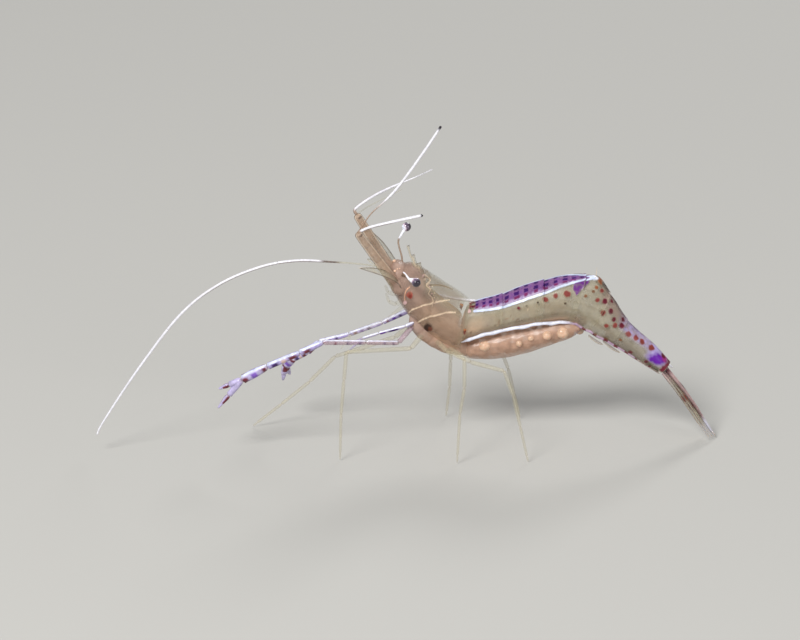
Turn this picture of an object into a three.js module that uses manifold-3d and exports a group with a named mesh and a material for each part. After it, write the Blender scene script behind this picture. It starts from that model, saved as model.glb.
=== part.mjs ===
// A cleaner shrimp (Ancylomenes pedersoni), an egg-carrying female, life size, standing on its legs.
// Millimetres and degrees. The head points to -X and +Z is up. The feet and the tail's tip stand on z = 0.
// The carapace and what grows from its front are built in the head's own frame, the rest in the part's frame.

import * as THREE from "three";
import { mergeVertices } from "three/addons/utils/BufferGeometryUtils.js";
import Module from "manifold-3d";

const wasm = await Module();
wasm.setup();

// Gap left between neighbouring pieces.
const SEAM = 0.07;

// The head's frame: its origin is the middle of the carapace's rear edge, on the back.
const HEAD_ORIGIN = new THREE.Vector3(3.77, 0, 8.33);
const HEAD_TURN = { yaw: 15, pitch: 38, roll: 18 };

// Carapace sections: forward, height of the middle, lean, half height, half width.
const CARAPACE_SECTIONS = [
  { forward: -0.83, middle: -1.47, lean: -26, tall: 1.6, wide: 1.22 },
  { forward: -0.4, middle: -1.5, lean: -21, tall: 1.6, wide: 1.4 },
  { forward: 0.45, middle: -1.5, lean: -14, tall: 1.56, wide: 1.5 },
  { forward: 1.4, middle: -1.42, lean: -8, tall: 1.48, wide: 1.5 },
  { forward: 2.3, middle: -1.28, lean: -3, tall: 1.34, wide: 1.36 },
  { forward: 3.1, middle: -1.14, lean: 0, tall: 1.16, wide: 1.16 },
  { forward: 3.8, middle: -1.02, lean: 3, tall: 0.94, wide: 0.94 },
  { forward: 4.25, middle: -0.98, lean: 6, tall: 0.66, wide: 0.7 },
];
const CARAPACE_SIDES = 24;

// Rostrum: a thin upright blade, turned up towards its tip, with teeth along its upper edge.
const ROSTRUM = { start: 3.1, length: 2.0, thick: 0.5, rise: 0.7, deep: 0.52, keel: 0.12, teeth: 3, tooth: 0.27 };

// Eyes on their stalks, and the feelers' bases: forward, right, up in the head's frame.
const EYE_RADIUS = 0.26;
const STALK_RADIUS = 0.21;
const STALK_ROOT = { forward: 4.15, right: 0.5, up: -0.75 };
const EYES = {
  l: { forward: 4.0, right: -2.0, up: 0.05 },
  r: { forward: 4.71, right: 2.4, up: 0.49 },
};
const PEDUNCLE_ROOT = { forward: 4.05, right: 0.42, up: -1.47 };
const PEDUNCLE_TIPS = {
  l: { forward: 8.0, right: -0.62, up: -0.08 },
  r: { forward: 8.25, right: 0.6, up: 0.25 },
};
const PEDUNCLE_RADII = [0.36, 0.38, 0.33, 0.35, 0.3, 0.31, 0.28];
const SCALE_ROOT = { forward: 4.0, right: 0.95, up: -1.2 };
const SCALE_TIPS = {
  l: { forward: 7.03, right: -2.05, up: -1.12 },
  r: { forward: 7.4, right: 1.75, up: -0.55 },
};
const SCALE_HALF_WIDTHS = [0.3, 0.5, 0.66, 0.68, 0.6, 0.42, 0.2];
const BLADE_HALF_THICKNESS = 0.25;

// Trunk sections from the carapace back to the tail: place, lean of the section, half height, half width.
// A somite runs from one hinge section to the next.
const TRUNK = [
  { x: 3.5, y: 0.38, z: 6.74, lean: 14, tall: 1.46, wide: 1.12, hinge: true },
  { x: 4.5, y: 0.36, z: 7.1, lean: 6, tall: 1.2, wide: 1.1 },
  { x: 5.46, y: 0.35, z: 7.38, lean: 0, tall: 1.12, wide: 1.08, hinge: true },
  { x: 6.55, y: 0.33, z: 7.7, lean: -2, tall: 1.22, wide: 1.14 },
  { x: 7.69, y: 0.32, z: 8.0, lean: 1, tall: 1.34, wide: 1.18, hinge: true },
  { x: 8.75, y: 0.31, z: 8.22, lean: 7, tall: 1.44, wide: 1.2 },
  { x: 9.7, y: 0.3, z: 8.28, lean: 15, tall: 1.52, wide: 1.2, hinge: true },
  { x: 10.35, y: 0.3, z: 8.15, lean: 23, tall: 1.62, wide: 1.18 },
  { x: 10.9, y: 0.3, z: 7.62, lean: 30, tall: 1.38, wide: 1.1, hinge: true },
  { x: 11.4, y: 0.3, z: 7.1, lean: 33, tall: 1.15, wide: 1.02 },
  { x: 11.95, y: 0.3, z: 6.53, lean: 38, tall: 0.92, wide: 0.88, hinge: true },
  { x: 12.75, y: 0.3, z: 5.86, lean: 42, tall: 0.76, wide: 0.74 },
  { x: 13.75, y: 0.3, z: 5.07, lean: 43, tall: 0.66, wide: 0.64 },
  { x: 14.73, y: 0.3, z: 4.22, lean: 44, tall: 0.47, wide: 0.5, hinge: true },
];
const TRUNK_ROLL = { front: 17, rear: 8 };
const TRUNK_SIDES = 20;

// Tail fan: a telson between a pair of uropods, resting on its tip.
const TAIL_ROUTE = [
  [14.8, 4.15],
  [15.65, 3.1],
  [16.4, 2.05],
  [17.0, 1.1],
  [17.6, 0.2],
];
const TAIL_Y = 0.3;
const TELSON_HALF_WIDTHS = [0.42, 0.4, 0.34, 0.28, 0.2];
const UROPOD = { inner: 0.52, outer: 0.86, drop: 0.16, halfWidths: [0.2, 0.3, 0.34, 0.32, 0.2] };

// The limbs' roots on the carapace's underside, forward and to each side.
const COXA = { right: 0.78, up: -2.75, radius: 0.36 };
const COXA_FORWARD = { leg_1: 2.45, cheliped: 1.7, leg_3: 0.9, leg_4: 0.1, leg_5: -0.65 };
const LEG_RADIUS = 0.26;

// Limb joints after the coxa, from the body out to the tip, each limb with its own stance.
const LEG_JOINTS = {
  leg_3_l: {
    thigh: [0.6, -1.7, 6.1],
    knee: [-2.95, -3.0, 6.37],
    shin: [[-3.1, -3.1, 4.7], [-3.26, -3.1, 2.75], [-3.33, -3.1, 0]],
  },
  leg_3_r: {
    thigh: [-0.3, 1.6, 5.55],
    knee: [-3.65, 2.3, 4.14],
    shin: [[-5.1, 2.3, 2.62], [-6.7, 2.2, 1.3], [-8.3, 2.1, 0]],
  },
  leg_4_l: {
    thigh: [2.6, -1.8, 5.95],
    knee: [3.55, -3.3, 6.05],
    shin: [[3.55, -3.5, 4.4], [3.3, -3.55, 2.9], [3.16, -3.6, 0]],
  },
  leg_4_r: {
    thigh: [2.45, 2.2, 5.5],
    knee: [2.87, 3.3, 5.0],
    shin: [[2.85, 3.5, 3.4], [2.8, 3.6, 1.8], [2.6, 3.6, 0]],
  },
  leg_5_l: {
    thigh: [3.9, -1.7, 5.3],
    knee: [5.75, -3.0, 5.25],
    shin: [[6.25, -3.3, 3.9], [6.65, -3.4, 2.1], [7.1, -3.4, 0]],
  },
  leg_5_r: {
    thigh: [3.9, 2.2, 5.0],
    knee: [5.6, 3.2, 4.4],
    shin: [[6.1, 3.4, 3.0], [6.45, 3.4, 1.5], [6.8, 3.4, 0]],
  },
};
const CHELIPEDS = {
  cheliped_l: {
    arm: [[-0.1, -1.5, 6.35], [-1.9, -2.1, 6.6], [-4.25, -2.7, 6.83]],
    forearm: [[-5.55, -2.7, 6.2], [-7.35, -2.6, 5.36]],
    palm: [-8.75, -2.5, 4.55],
    fingers: [[-10.05, -2.35, 3.95], [-10.1, -2.45, 2.84]],
  },
  cheliped_r: {
    arm: [[-1.0, 1.05, 6.62], [-2.85, 1.4, 5.8], [-4.55, 1.65, 5.25]],
    forearm: [[-5.2, 1.75, 4.6], [-5.95, 1.9, 4.2]],
    palm: [-6.45, 2.35, 3.6],
    fingers: [[-6.6, 2.7, 2.55], [-6.2, 3.0, 2.8]],
  },
};
const CHELIPED_RADII = { arm: 0.3, forearm: 0.3, palm: 0.4, finger: 0.25, tip: 0.2 };
const FIRST_LEGS = {
  leg_1_l: {
    arm: [[0.3, -1.15, 7.12], [-1.2, -1.2, 6.78], [-2.1, -1.2, 6.5]],
    claw: [[-2.9, -1.15, 6.1], [-2.85, -1.15, 5.75]],
  },
  leg_1_r: {
    arm: [[-0.7, 0.35, 7.05], [-1.8, 0.3, 6.55], [-2.7, 0.25, 6.2]],
    claw: [[-3.35, 0.2, 5.8], [-3.3, 0.2, 5.35]],
  },
};
const MAXILLIPEDS = {
  maxilliped_l: [[3.1, -0.45, -1.95], [3.2, -0.5, -2.5], [3.7, -0.48, -2.62], [4.2, -0.42, -2.3]],
  maxilliped_r: [[3.1, 0.45, -1.95], [3.2, 0.5, -2.5], [3.7, 0.48, -2.62], [4.2, 0.42, -2.3]],
};

// Feelers: each flagellum leaves its peduncle's tip, and each antenna is parted into lengths.
const FEELER_RADIUS = 0.25;
const FLAGELLA = {
  antennule_outer_r: [
    [-2.45, -0.98, 14.02],
    [-1.61, -0.5, 14.5],
    [-0.67, 0, 14.85],
    [0.92, 0.3, 15.45],
    [1.78, 0.4, 15.83],
  ],
  antennule_outer_l: [
    [-2.0, -1.65, 13.35],
    [-1.55, -1.2, 13.85],
    [-0.3, -0.75, 14.95],
    [1.1, -0.4, 16.8],
    [2.25, -0.1, 18.5],
  ],
  antennule_inner_l: [[-1.6, -2.2, 13.37], [-0.1, -2.3, 13.78], [1.25, -2.4, 14.12]],
  antennule_inner_r: [[-1.75, -0.1, 13.85], [-1.0, 0.5, 14.05], [0.1, 0.9, 14.5]],
};
const ANTENNA_ROOT = { forward: 4.1, right: 0.8, up: -1.65 };
const ANTENNA_ROOT_RADIUS = 0.32;
const ANTENNA_LENGTHS = 3;
const ANTENNAE = {
  antenna_l: [
    [-1.32, -1.68, 10.09],
    [-1.84, -2.01, 10.79],
    [-2.5, -2.3, 11.3],
    [-3.61, -2.5, 11.44],
    [-5.67, -2.6, 11.56],
    [-7.7, -2.6, 11.18],
    [-10.0, -2.5, 10.1],
    [-12.1, -2.3, 8.3],
    [-14.4, -2.1, 5.15],
    [-16.4, -2.0, 2.0],
    [-16.85, -2.0, 1.1],
  ],
  antenna_r: [
    [-1.55, 0.7, 10.25],
    [-1.75, 1.7, 10.15],
    [-1.0, 2.55, 9.5],
    [0.3, 2.9, 8.55],
    [1.8, 3.0, 7.7],
    [3.6, 2.9, 7.3],
    [6.0, 2.7, 7.3],
    [8.6, 2.55, 7.5],
    [11.0, 2.45, 6.9],
    [13.3, 2.35, 5.3],
    [15.3, 2.25, 3.5],
  ],
};

// Eggs carried under the somites, and the swimming legs behind them: place, half height, half width.
const EGG_SECTIONS = [
  { x: 3.35, y: 0.62, z: 5.5, lean: 10, tall: 0.3, wide: 0.45 },
  { x: 3.9, y: 0.62, z: 5.45, lean: 5, tall: 0.74, wide: 0.85 },
  { x: 5.4, y: 0.62, z: 5.6, lean: 0, tall: 0.96, wide: 0.98 },
  { x: 7.0, y: 0.6, z: 5.95, lean: 0, tall: 0.98, wide: 1.0 },
  { x: 8.6, y: 0.55, z: 6.4, lean: 8, tall: 0.86, wide: 0.95 },
  { x: 9.7, y: 0.5, z: 6.62, lean: 16, tall: 0.66, wide: 0.8 },
  { x: 10.2, y: 0.5, z: 6.7, lean: 22, tall: 0.3, wide: 0.45 },
];
const PLEOPODS = {
  pleopod_4: { root: [10.5, 6.1], tip: [11.3, 5.48] },
  pleopod_5: { root: [11.3, 5.78], tip: [12.25, 4.98] },
};
const PLEOPOD_SPREAD = 0.42;
const PLEOPOD_HALF_WIDTHS = [0.26, 0.32, 0.3, 0.2];

const degrees = THREE.MathUtils.degToRad;

const FINISHES = {
  shell: { color: 0xe3cdb0, roughness: 0.25, metalness: 0 },
  abdomen: { color: 0xd9c7cf, roughness: 0.25, metalness: 0 },
  tail: { color: 0xa98bc4, roughness: 0.3, metalness: 0 },
  claw: { color: 0x9a7cc0, roughness: 0.3, metalness: 0 },
  limb: { color: 0xddd6cf, roughness: 0.3, metalness: 0 },
  feeler: { color: 0xf4f2ee, roughness: 0.4, metalness: 0 },
  eye: { color: 0x4a4350, roughness: 0.12, metalness: 0 },
  egg: { color: 0xd9a070, roughness: 0.35, metalness: 0 },
};

const shrimp = new THREE.Group();
shrimp.name = "cleaner_shrimp";
const head = new THREE.Group();
head.name = "head_frame";
head.position.copy(HEAD_ORIGIN);
head.rotation.set(degrees(HEAD_TURN.roll), degrees(HEAD_TURN.pitch), degrees(HEAD_TURN.yaw), "ZYX");
shrimp.add(head);
shrimp.updateMatrixWorld(true);

// A point of the head's frame, given forward, to the right and up.
function inHead({ forward, right, up }) {
  return new THREE.Vector3(-forward, right, up);
}

function mirrored(place, side) {
  return { ...place, right: side === "l" ? -place.right : place.right };
}

function toPart(point) {
  return head.localToWorld(point.clone());
}

// A closed manifold solid of a geometry, with its faces pointing out.
function solidOf(geometry) {
  const bare = new THREE.BufferGeometry();
  bare.setAttribute("position", geometry.getAttribute("position"));
  if (geometry.index) bare.setIndex(geometry.index);
  const merged = mergeVertices(bare, 1e-4);
  const triVerts = new Uint32Array(merged.index.array);
  const vertProperties = new Float32Array(merged.attributes.position.array);
  const solid = new wasm.Manifold(new wasm.Mesh({ numProp: 3, vertProperties, triVerts }));
  if (solid.volume() > 0) return solid;
  for (let i = 0; i < triVerts.length; i += 3) {
    [triVerts[i + 1], triVerts[i + 2]] = [triVerts[i + 2], triVerts[i + 1]];
  }
  return new wasm.Manifold(new wasm.Mesh({ numProp: 3, vertProperties, triVerts }));
}

function geometryOf(solid) {
  const mesh = solid.getMesh();
  const geometry = new THREE.BufferGeometry();
  geometry.setAttribute("position", new THREE.BufferAttribute(new Float32Array(mesh.vertProperties), 3));
  geometry.setIndex(new THREE.BufferAttribute(new Uint32Array(mesh.triVerts), 1));
  geometry.computeVertexNormals();
  return geometry;
}

// A skin over rings of equal count, closed by a fan at each end.
function loft(rings) {
  const count = rings[0].length;
  const points = rings.flat();
  const ends = [rings[0], rings.at(-1)].map((ring) =>
    ring.reduce((sum, p) => sum.add(p), new THREE.Vector3()).divideScalar(count),
  );
  const first = points.push(ends[0]) - 1;
  const last = points.push(ends[1]) - 1;
  const faces = [];
  for (let i = 0; i < count; i += 1) {
    const next = (i + 1) % count;
    faces.push(first, next, i);
    for (let r = 0; r + 1 < rings.length; r += 1) {
      const a = r * count + i;
      const b = r * count + next;
      faces.push(a, b, b + count, a, b + count, a + count);
    }
    const base = (rings.length - 1) * count;
    faces.push(last, base + i, base + next);
  }
  const geometry = new THREE.BufferGeometry().setFromPoints(points);
  geometry.setIndex(faces);
  return solidOf(geometry);
}

// One ring of an oval section, narrower below its middle by the share given.
function ovalRing(centre, side, up, wide, tall, sides, narrowing = 0) {
  return Array.from({ length: sides }, (_, i) => {
    const angle = (2 * Math.PI * i) / sides;
    const below = Math.max(0, -Math.cos(angle));
    const reach = wide * Math.sin(angle) * (1 - narrowing * below);
    return centre.clone().addScaledVector(side, reach).addScaledVector(up, tall * Math.cos(angle));
  });
}

// The value of a smooth run through the numbers at place t, counted in whole steps.
function smooth(values, t) {
  const i = Math.min(Math.max(Math.floor(t), 0), values.length - 2);
  const u = t - i;
  const at = (k) => values[Math.min(Math.max(k, 0), values.length - 1)];
  const [a, b, c, d] = [at(i - 1), at(i), at(i + 1), at(i + 2)];
  return b + 0.5 * u * (c - a + u * (2 * a - 5 * b + 4 * c - d + u * (3 * (b - c) + d - a)));
}

function sectionAt(sections, t) {
  const keys = Object.keys(sections[0]).filter((key) => key !== "hinge");
  return Object.fromEntries(keys.map((key) => [key, smooth(sections.map((s) => s[key]), t)]));
}

// A body section's ring: it stands across the body, leans back by lean and rolls towards -Y by roll.
function bodyRing({ x, y, z, lean, tall, wide }, roll, sides, grow, narrowing) {
  const straight = new THREE.Vector3(Math.sin(degrees(lean)), 0, Math.cos(degrees(lean)));
  const across = new THREE.Vector3(0, 1, 0);
  const [sine, cosine] = [Math.sin(degrees(roll)), Math.cos(degrees(roll))];
  const up = straight.clone().multiplyScalar(cosine).addScaledVector(across, -sine);
  const side = across.clone().multiplyScalar(cosine).addScaledVector(straight, sine);
  return ovalRing(new THREE.Vector3(x, y, z), side, up, wide + grow, tall + grow, sides, narrowing);
}

// Rings along a route, each square to the route there. Radii may be oval: half width, half thickness.
function routeRings(points, widths, thicknesses, sides, flatSide) {
  let across = flatSide ?? new THREE.Vector3(0, 1, 0.2);
  return points.map((point, i) => {
    const before = points[Math.max(i - 1, 0)];
    const after = points[Math.min(i + 1, points.length - 1)];
    const inward = point.clone().sub(before).normalize();
    const outward = after.clone().sub(point).normalize();
    const along = inward.add(outward).normalize();
    across = across.clone().addScaledVector(along, -across.dot(along)).normalize();
    const up = new THREE.Vector3().crossVectors(along, across);
    const ring = ovalRing(point, across, up, widths[i], thicknesses[i], sides);
    return { ring, along };
  });
}

function moved(ring, along, distance) {
  return ring.map((p) => p.clone().addScaledVector(along, distance));
}

// A limb or feeler between two of its joints, with half a seam left at each parting.
function limbSpan({ points, widths, thicknesses = widths, sides = 8, flatSide }, from, to, grow = 0) {
  const grown = (values) => values.map((v) => v + grow);
  const rings = routeRings(points, grown(widths), grown(thicknesses), sides, flatSide);
  const span = rings.slice(from, to + 1).map(({ ring }) => ring);
  const startGap = from > 0 ? SEAM / 2 - grow : -grow;
  const endGap = to < points.length - 1 ? SEAM / 2 - grow : -grow;
  span[0] = moved(span[0], rings[from].along, startGap);
  span[span.length - 1] = moved(span.at(-1), rings[to].along, -endGap);
  return loft(span);
}

function ball(centre, radius) {
  const geometry = new THREE.SphereGeometry(radius, 14, 10);
  geometry.translate(centre.x, centre.y, centre.z);
  return solidOf(geometry);
}

function vectors(list) {
  return list.map(([x, y, z]) => new THREE.Vector3(x, y, z));
}

// A run of evenly spaced points on a smooth curve through the given ones.
function smoothRoute(points, steps) {
  return new THREE.CatmullRomCurve3(points, false, "centripetal").getSpacedPoints(steps);
}

// Everything is entered here in order. A later piece gives way to those before it by a seam.
const placed = [];
const floorCut = solidOf(new THREE.BoxGeometry(80, 40, 10).translate(0, 0, -5));

// The boxes of two solids, apart or not.
function near(a, b) {
  const [p, q] = [a.boundingBox(), b.boundingBox()];
  return [0, 1, 2].every((k) => p.min[k] < q.max[k] && q.min[k] < p.max[k]);
}

function largestBody(solid) {
  return solid.decompose().sort((a, b) => b.volume() - a.volume())[0];
}

// make(grow) gives the solid, made thicker by grow for cutting its neighbours. frame is the head or the part.
function place(name, finish, make, frame = shrimp) {
  const matrix = frame.matrixWorld;
  let solid = make(0).transform(matrix.elements);
  for (const earlier of placed) {
    if (near(solid, earlier.cutter)) solid = solid.subtract(earlier.cutter);
  }
  if (solid.boundingBox().min[2] < 0) solid = solid.subtract(floorCut);
  solid = largestBody(solid);
  placed.push({ name, cutter: make(SEAM).transform(matrix.elements) });
  const local = solid.transform(matrix.clone().invert().elements);
  const mesh = new THREE.Mesh(geometryOf(local), new THREE.MeshStandardMaterial(FINISHES[finish]));
  mesh.name = name;
  frame.add(mesh);
}

function carapace(grow) {
  const sections = CARAPACE_SECTIONS.map((s) => ({ x: -s.forward, y: 0, z: s.middle, ...s }));
  const steps = 2 * (sections.length - 1);
  const rings = Array.from({ length: steps + 1 }, (_, i) => {
    const section = sectionAt(sections, i / 2);
    return bodyRing(section, 0, CARAPACE_SIDES, grow, 0.12);
  });
  return loft(rings);
}

function rostrum(grow) {
  const { start, length, thick, rise, deep, keel, teeth, tooth } = ROSTRUM;
  const ridge = (u) => rise * u ** 1.5;
  const outline = new THREE.Shape();
  outline.moveTo(start, -deep);
  outline.lineTo(start + 0.45 * length, -keel);
  outline.lineTo(start + length, rise - 0.12);
  outline.lineTo(start + length, rise);
  for (let i = teeth; i > 0; i -= 1) {
    const root = (i - 0.5) / teeth;
    const foot = start + length * (root - 0.45 / teeth);
    const reach = start + length * (root + 0.4 / teeth);
    const shrink = 1 - 0.35 * root;
    outline.lineTo(reach, ridge(root) + tooth * shrink);
    outline.lineTo(reach - 0.04, ridge(root) * 0.98);
    outline.lineTo(foot, ridge(root - 0.4 / teeth));
  }
  outline.lineTo(start, 0);
  const geometry = new THREE.ExtrudeGeometry(outline, { depth: thick + 2 * grow, bevelEnabled: false });
  geometry.translate(0, 0, -thick / 2 - grow);
  geometry.rotateX(Math.PI / 2);
  geometry.scale(-1, 1, 1);
  return solidOf(geometry);
}

function somite(from, to, grow) {
  const steps = to - from > 2 ? 6 : 4;
  const rings = Array.from({ length: steps + 1 }, (_, i) => {
    const share = i / steps;
    const inset = 0.02 + 0.96 * share;
    const t = from + (to - from) * (grow ? share : inset);
    const roll = THREE.MathUtils.lerp(TRUNK_ROLL.front, TRUNK_ROLL.rear, t / (TRUNK.length - 1));
    const flare = 0.94 + 0.08 * Math.sin(Math.min(share * 1.6, 1) * (Math.PI / 2));
    const section = sectionAt(TRUNK, t);
    const shaped = { ...section, tall: section.tall * flare, wide: section.wide * flare };
    return bodyRing(shaped, roll, TRUNK_SIDES, grow, 0.2);
  });
  return loft(rings);
}

function eggMass(grow) {
  const rings = Array.from({ length: 13 }, (_, i) => {
    const section = sectionAt(EGG_SECTIONS, i / 2);
    return bodyRing(section, TRUNK_ROLL.front, 14, grow, 0.1);
  });
  return loft(rings);
}

// A flat blade from root to tip: half widths along it, and the direction of its width.
function blade(root, tip, halfWidths, flatSide, grow, sides = 10) {
  const last = halfWidths.length - 1;
  const points = halfWidths.map((_, i) => root.clone().lerp(tip, i / last));
  const thicknesses = halfWidths.map(() => BLADE_HALF_THICKNESS);
  return limbSpan({ points, widths: halfWidths, thicknesses, sides, flatSide }, 0, last, grow);
}

function tailRoute(right, drop, share) {
  const route = TAIL_ROUTE.map(([x, z]) => new THREE.Vector3(x, TAIL_Y, z));
  const back = route.at(-1).clone().sub(route[0]).normalize();
  const down = new THREE.Vector3(back.z, 0, -back.x);
  return route.map((p, i) => {
    const q = i === 0 ? p : route[0].clone().lerp(p, share);
    return q.add(new THREE.Vector3(0, right, 0)).addScaledVector(down, drop);
  });
}

function telson(grow) {
  const points = tailRoute(0, 0, 1);
  const thicknesses = points.map(() => BLADE_HALF_THICKNESS);
  const flatSide = new THREE.Vector3(0, 1, 0);
  return limbSpan({ points, widths: TELSON_HALF_WIDTHS, thicknesses, sides: 10, flatSide }, 0, 4, grow);
}

// A uropod's two blades spring from one root and overlap like a closed fan.
function uropod(hand, grow) {
  const flatSide = new THREE.Vector3(0, 1, -0.25 * hand).normalize();
  const blades = [UROPOD.inner, UROPOD.outer].map((offset, k) => {
    const points = tailRoute(hand * offset, UROPOD.drop * (1 + k), 0.98 - 0.04 * k);
    points[0].y -= hand * 0.3 * (offset - 0.3);
    const thicknesses = points.map(() => BLADE_HALF_THICKNESS);
    return limbSpan({ points, widths: UROPOD.halfWidths, thicknesses, sides: 10, flatSide }, 0, 4, grow);
  });
  return blades[0].add(blades[1]);
}

place("carapace", "shell", carapace, head);
place("rostrum", "shell", rostrum, head);

const hinges = TRUNK.flatMap((section, i) => (section.hinge ? [i] : []));
hinges.slice(1).forEach((to, i) => {
  place(`abdomen_${i + 1}`, "abdomen", (grow) => somite(hinges[i], to, grow));
});

place("telson", "tail", telson);
place("uropod_l", "tail", (grow) => uropod(-1, grow));
place("uropod_r", "tail", (grow) => uropod(1, grow));

for (const side of ["l", "r"]) {
  const eye = inHead(EYES[side]);
  const root = inHead(mirrored(STALK_ROOT, side));
  place(`eye_${side}`, "eye", (grow) => ball(eye, EYE_RADIUS + grow), head);
  const stalk = { points: [root, root.clone().lerp(eye, 0.5), eye], widths: [0.24, STALK_RADIUS, 0.24] };
  place(`eyestalk_${side}`, "limb", (grow) => limbSpan(stalk, 0, 2, grow), head);
}

for (const side of ["l", "r"]) {
  const root = inHead(mirrored(PEDUNCLE_ROOT, side));
  const tip = inHead(PEDUNCLE_TIPS[side]);
  const last = PEDUNCLE_RADII.length - 1;
  const points = PEDUNCLE_RADII.map((_, i) => root.clone().lerp(tip, i / last));
  const peduncle = { points, widths: PEDUNCLE_RADII, sides: 9 };
  place(`antennule_peduncle_${side}`, "shell", (grow) => limbSpan(peduncle, 0, last, grow), head);
}

for (const side of ["l", "r"]) {
  const root = inHead(mirrored(SCALE_ROOT, side));
  const tip = inHead(SCALE_TIPS[side]);
  const tilt = new THREE.Vector3(0, 1, side === "l" ? 0.35 : -0.35);
  place(`antennal_scale_${side}`, "shell", (grow) => blade(root, tip, SCALE_HALF_WIDTHS, tilt, grow), head);
}

for (const [name, route] of Object.entries(MAXILLIPEDS)) {
  const points = route.map(([forward, right, up]) => inHead({ forward, right, up }));
  const limb = { points, widths: [0.3, 0.28, 0.25, 0.25] };
  place(name, "limb", (grow) => limbSpan(limb, 0, 3, grow), head);
}

function coxaOf(kind, side) {
  return toPart(inHead(mirrored({ ...COXA, forward: COXA_FORWARD[kind] }, side)));
}

for (const [name, { arm, forearm, palm, fingers }] of Object.entries(CHELIPEDS)) {
  const { arm: armRadius, forearm: wristRadius, palm: palmRadius, finger, tip } = CHELIPED_RADII;
  const points = [coxaOf("cheliped", name.slice(-1)), ...vectors([...arm, ...forearm, palm])];
  const widths = [COXA.radius, armRadius, armRadius, 0.28, wristRadius, wristRadius, palmRadius];
  const limb = { points, widths };
  place(`${name}_arm`, "claw", (grow) => limbSpan(limb, 0, 3, grow));
  place(`${name}_forearm`, "claw", (grow) => limbSpan(limb, 3, 5, grow));
  place(`${name}_claw`, "claw", (grow) => {
    const [wrist, knuckle] = points.slice(-2);
    const handPoints = smoothRoute([wrist, knuckle], 3);
    const gap = wrist.clone().lerp(knuckle, SEAM / wrist.distanceTo(knuckle));
    handPoints[0] = gap;
    const hand = limbSpan({ points: handPoints, widths: [0.28, palmRadius, palmRadius, 0.34] }, 0, 3, grow);
    return vectors(fingers).reduce((whole, end) => {
      const root = knuckle.clone().lerp(wrist, 0.25);
      const route = [root, root.clone().lerp(end, 0.5), end];
      return whole.add(limbSpan({ points: route, widths: [finger, finger, tip] }, 0, 2, grow));
    }, hand);
  });
}

for (const [name, { arm, claw }] of Object.entries(FIRST_LEGS)) {
  const points = [coxaOf("leg_1", name.slice(-1)), ...vectors(arm)];
  const widths = [0.32, LEG_RADIUS, LEG_RADIUS, 0.28];
  place(name, "limb", (grow) =>
    vectors(claw).reduce((whole, end) => {
      const route = [points.at(-1).clone(), end];
      return whole.add(limbSpan({ points: route, widths: [0.24, 0.16] }, 0, 1, grow));
    }, limbSpan({ points, widths }, 0, 3, grow)),
  );
}

for (const [name, { thigh, knee, shin }] of Object.entries(LEG_JOINTS)) {
  const points = [coxaOf(name.slice(0, 5), name.slice(-1)), ...vectors([thigh, knee, ...shin])];
  const widths = points.map((_, i) => (i === 0 ? COXA.radius : LEG_RADIUS));
  const kneeAt = 2;
  const last = points.length - 1;
  const limb = { points, widths };
  place(`${name}_upper`, "limb", (grow) => limbSpan(limb, 0, kneeAt, grow));
  place(`${name}_lower`, "limb", (grow) => limbSpan(limb, kneeAt, last, grow));
}

for (const [name, route] of Object.entries(FLAGELLA)) {
  const side = name.slice(-1);
  const root = toPart(inHead(PEDUNCLE_TIPS[side]));
  const points = smoothRoute([root, ...vectors(route)], 10);
  const widths = points.map(() => FEELER_RADIUS);
  place(name, "feeler", (grow) => limbSpan({ points, widths, sides: 6 }, 0, 10, grow));
}

for (const [name, route] of Object.entries(ANTENNAE)) {
  const side = name.slice(-1);
  const root = toPart(inHead(mirrored(ANTENNA_ROOT, side)));
  const steps = 8 * ANTENNA_LENGTHS;
  const points = smoothRoute([root, ...vectors(route)], steps);
  const widths = points.map((_, i) => (i < 2 ? ANTENNA_ROOT_RADIUS : FEELER_RADIUS));
  for (let k = 0; k < ANTENNA_LENGTHS; k += 1) {
    const limb = { points, widths, sides: 6 };
    place(`${name}_${k + 1}`, "feeler", (grow) => limbSpan(limb, 8 * k, 8 * (k + 1), grow));
  }
}

place("egg_mass", "egg", eggMass);
for (const [name, { root, tip }] of Object.entries(PLEOPODS)) {
  for (const [side, hand] of [["l", -1], ["r", 1]]) {
    const from = new THREE.Vector3(root[0], TAIL_Y + 0.2 + hand * PLEOPOD_SPREAD, root[1]);
    const to = new THREE.Vector3(tip[0], TAIL_Y + 0.3 + hand * PLEOPOD_SPREAD, tip[1]);
    const wide = new THREE.Vector3(0, 1, 0);
    place(`${name}_${side}`, "limb", (grow) => blade(from, to, PLEOPOD_HALF_WIDTHS, wide, grow, 6));
  }
}

// The origin is set under the middle of the whole animal, at the level that it stands on.
const reach = new THREE.Box3().setFromObject(shrimp).getCenter(new THREE.Vector3());
shrimp.position.set(-reach.x, -reach.y, 0);

export default shrimp;
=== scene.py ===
"""A life-size museum model of a spotted cleaner shrimp: an egg-carrying female with her head raised.

Lengths are millimetres until a piece is placed. The body's own frame has the head towards -X, the left side
towards -Y and the floor at z = 0. The head's frame is given forward, to the right and up. Along a body form,
"along" counts its sections from the front or rear, and "around" is the angle in degrees from the middle of
the back, negative to the left.
"""

import logging
import math
import random
from dataclasses import dataclass, field
from enum import Enum
from typing import Callable, Sequence

import bmesh
import bpy
import numpy as np
from mathutils import Euler, Matrix, Vector, noise


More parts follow.
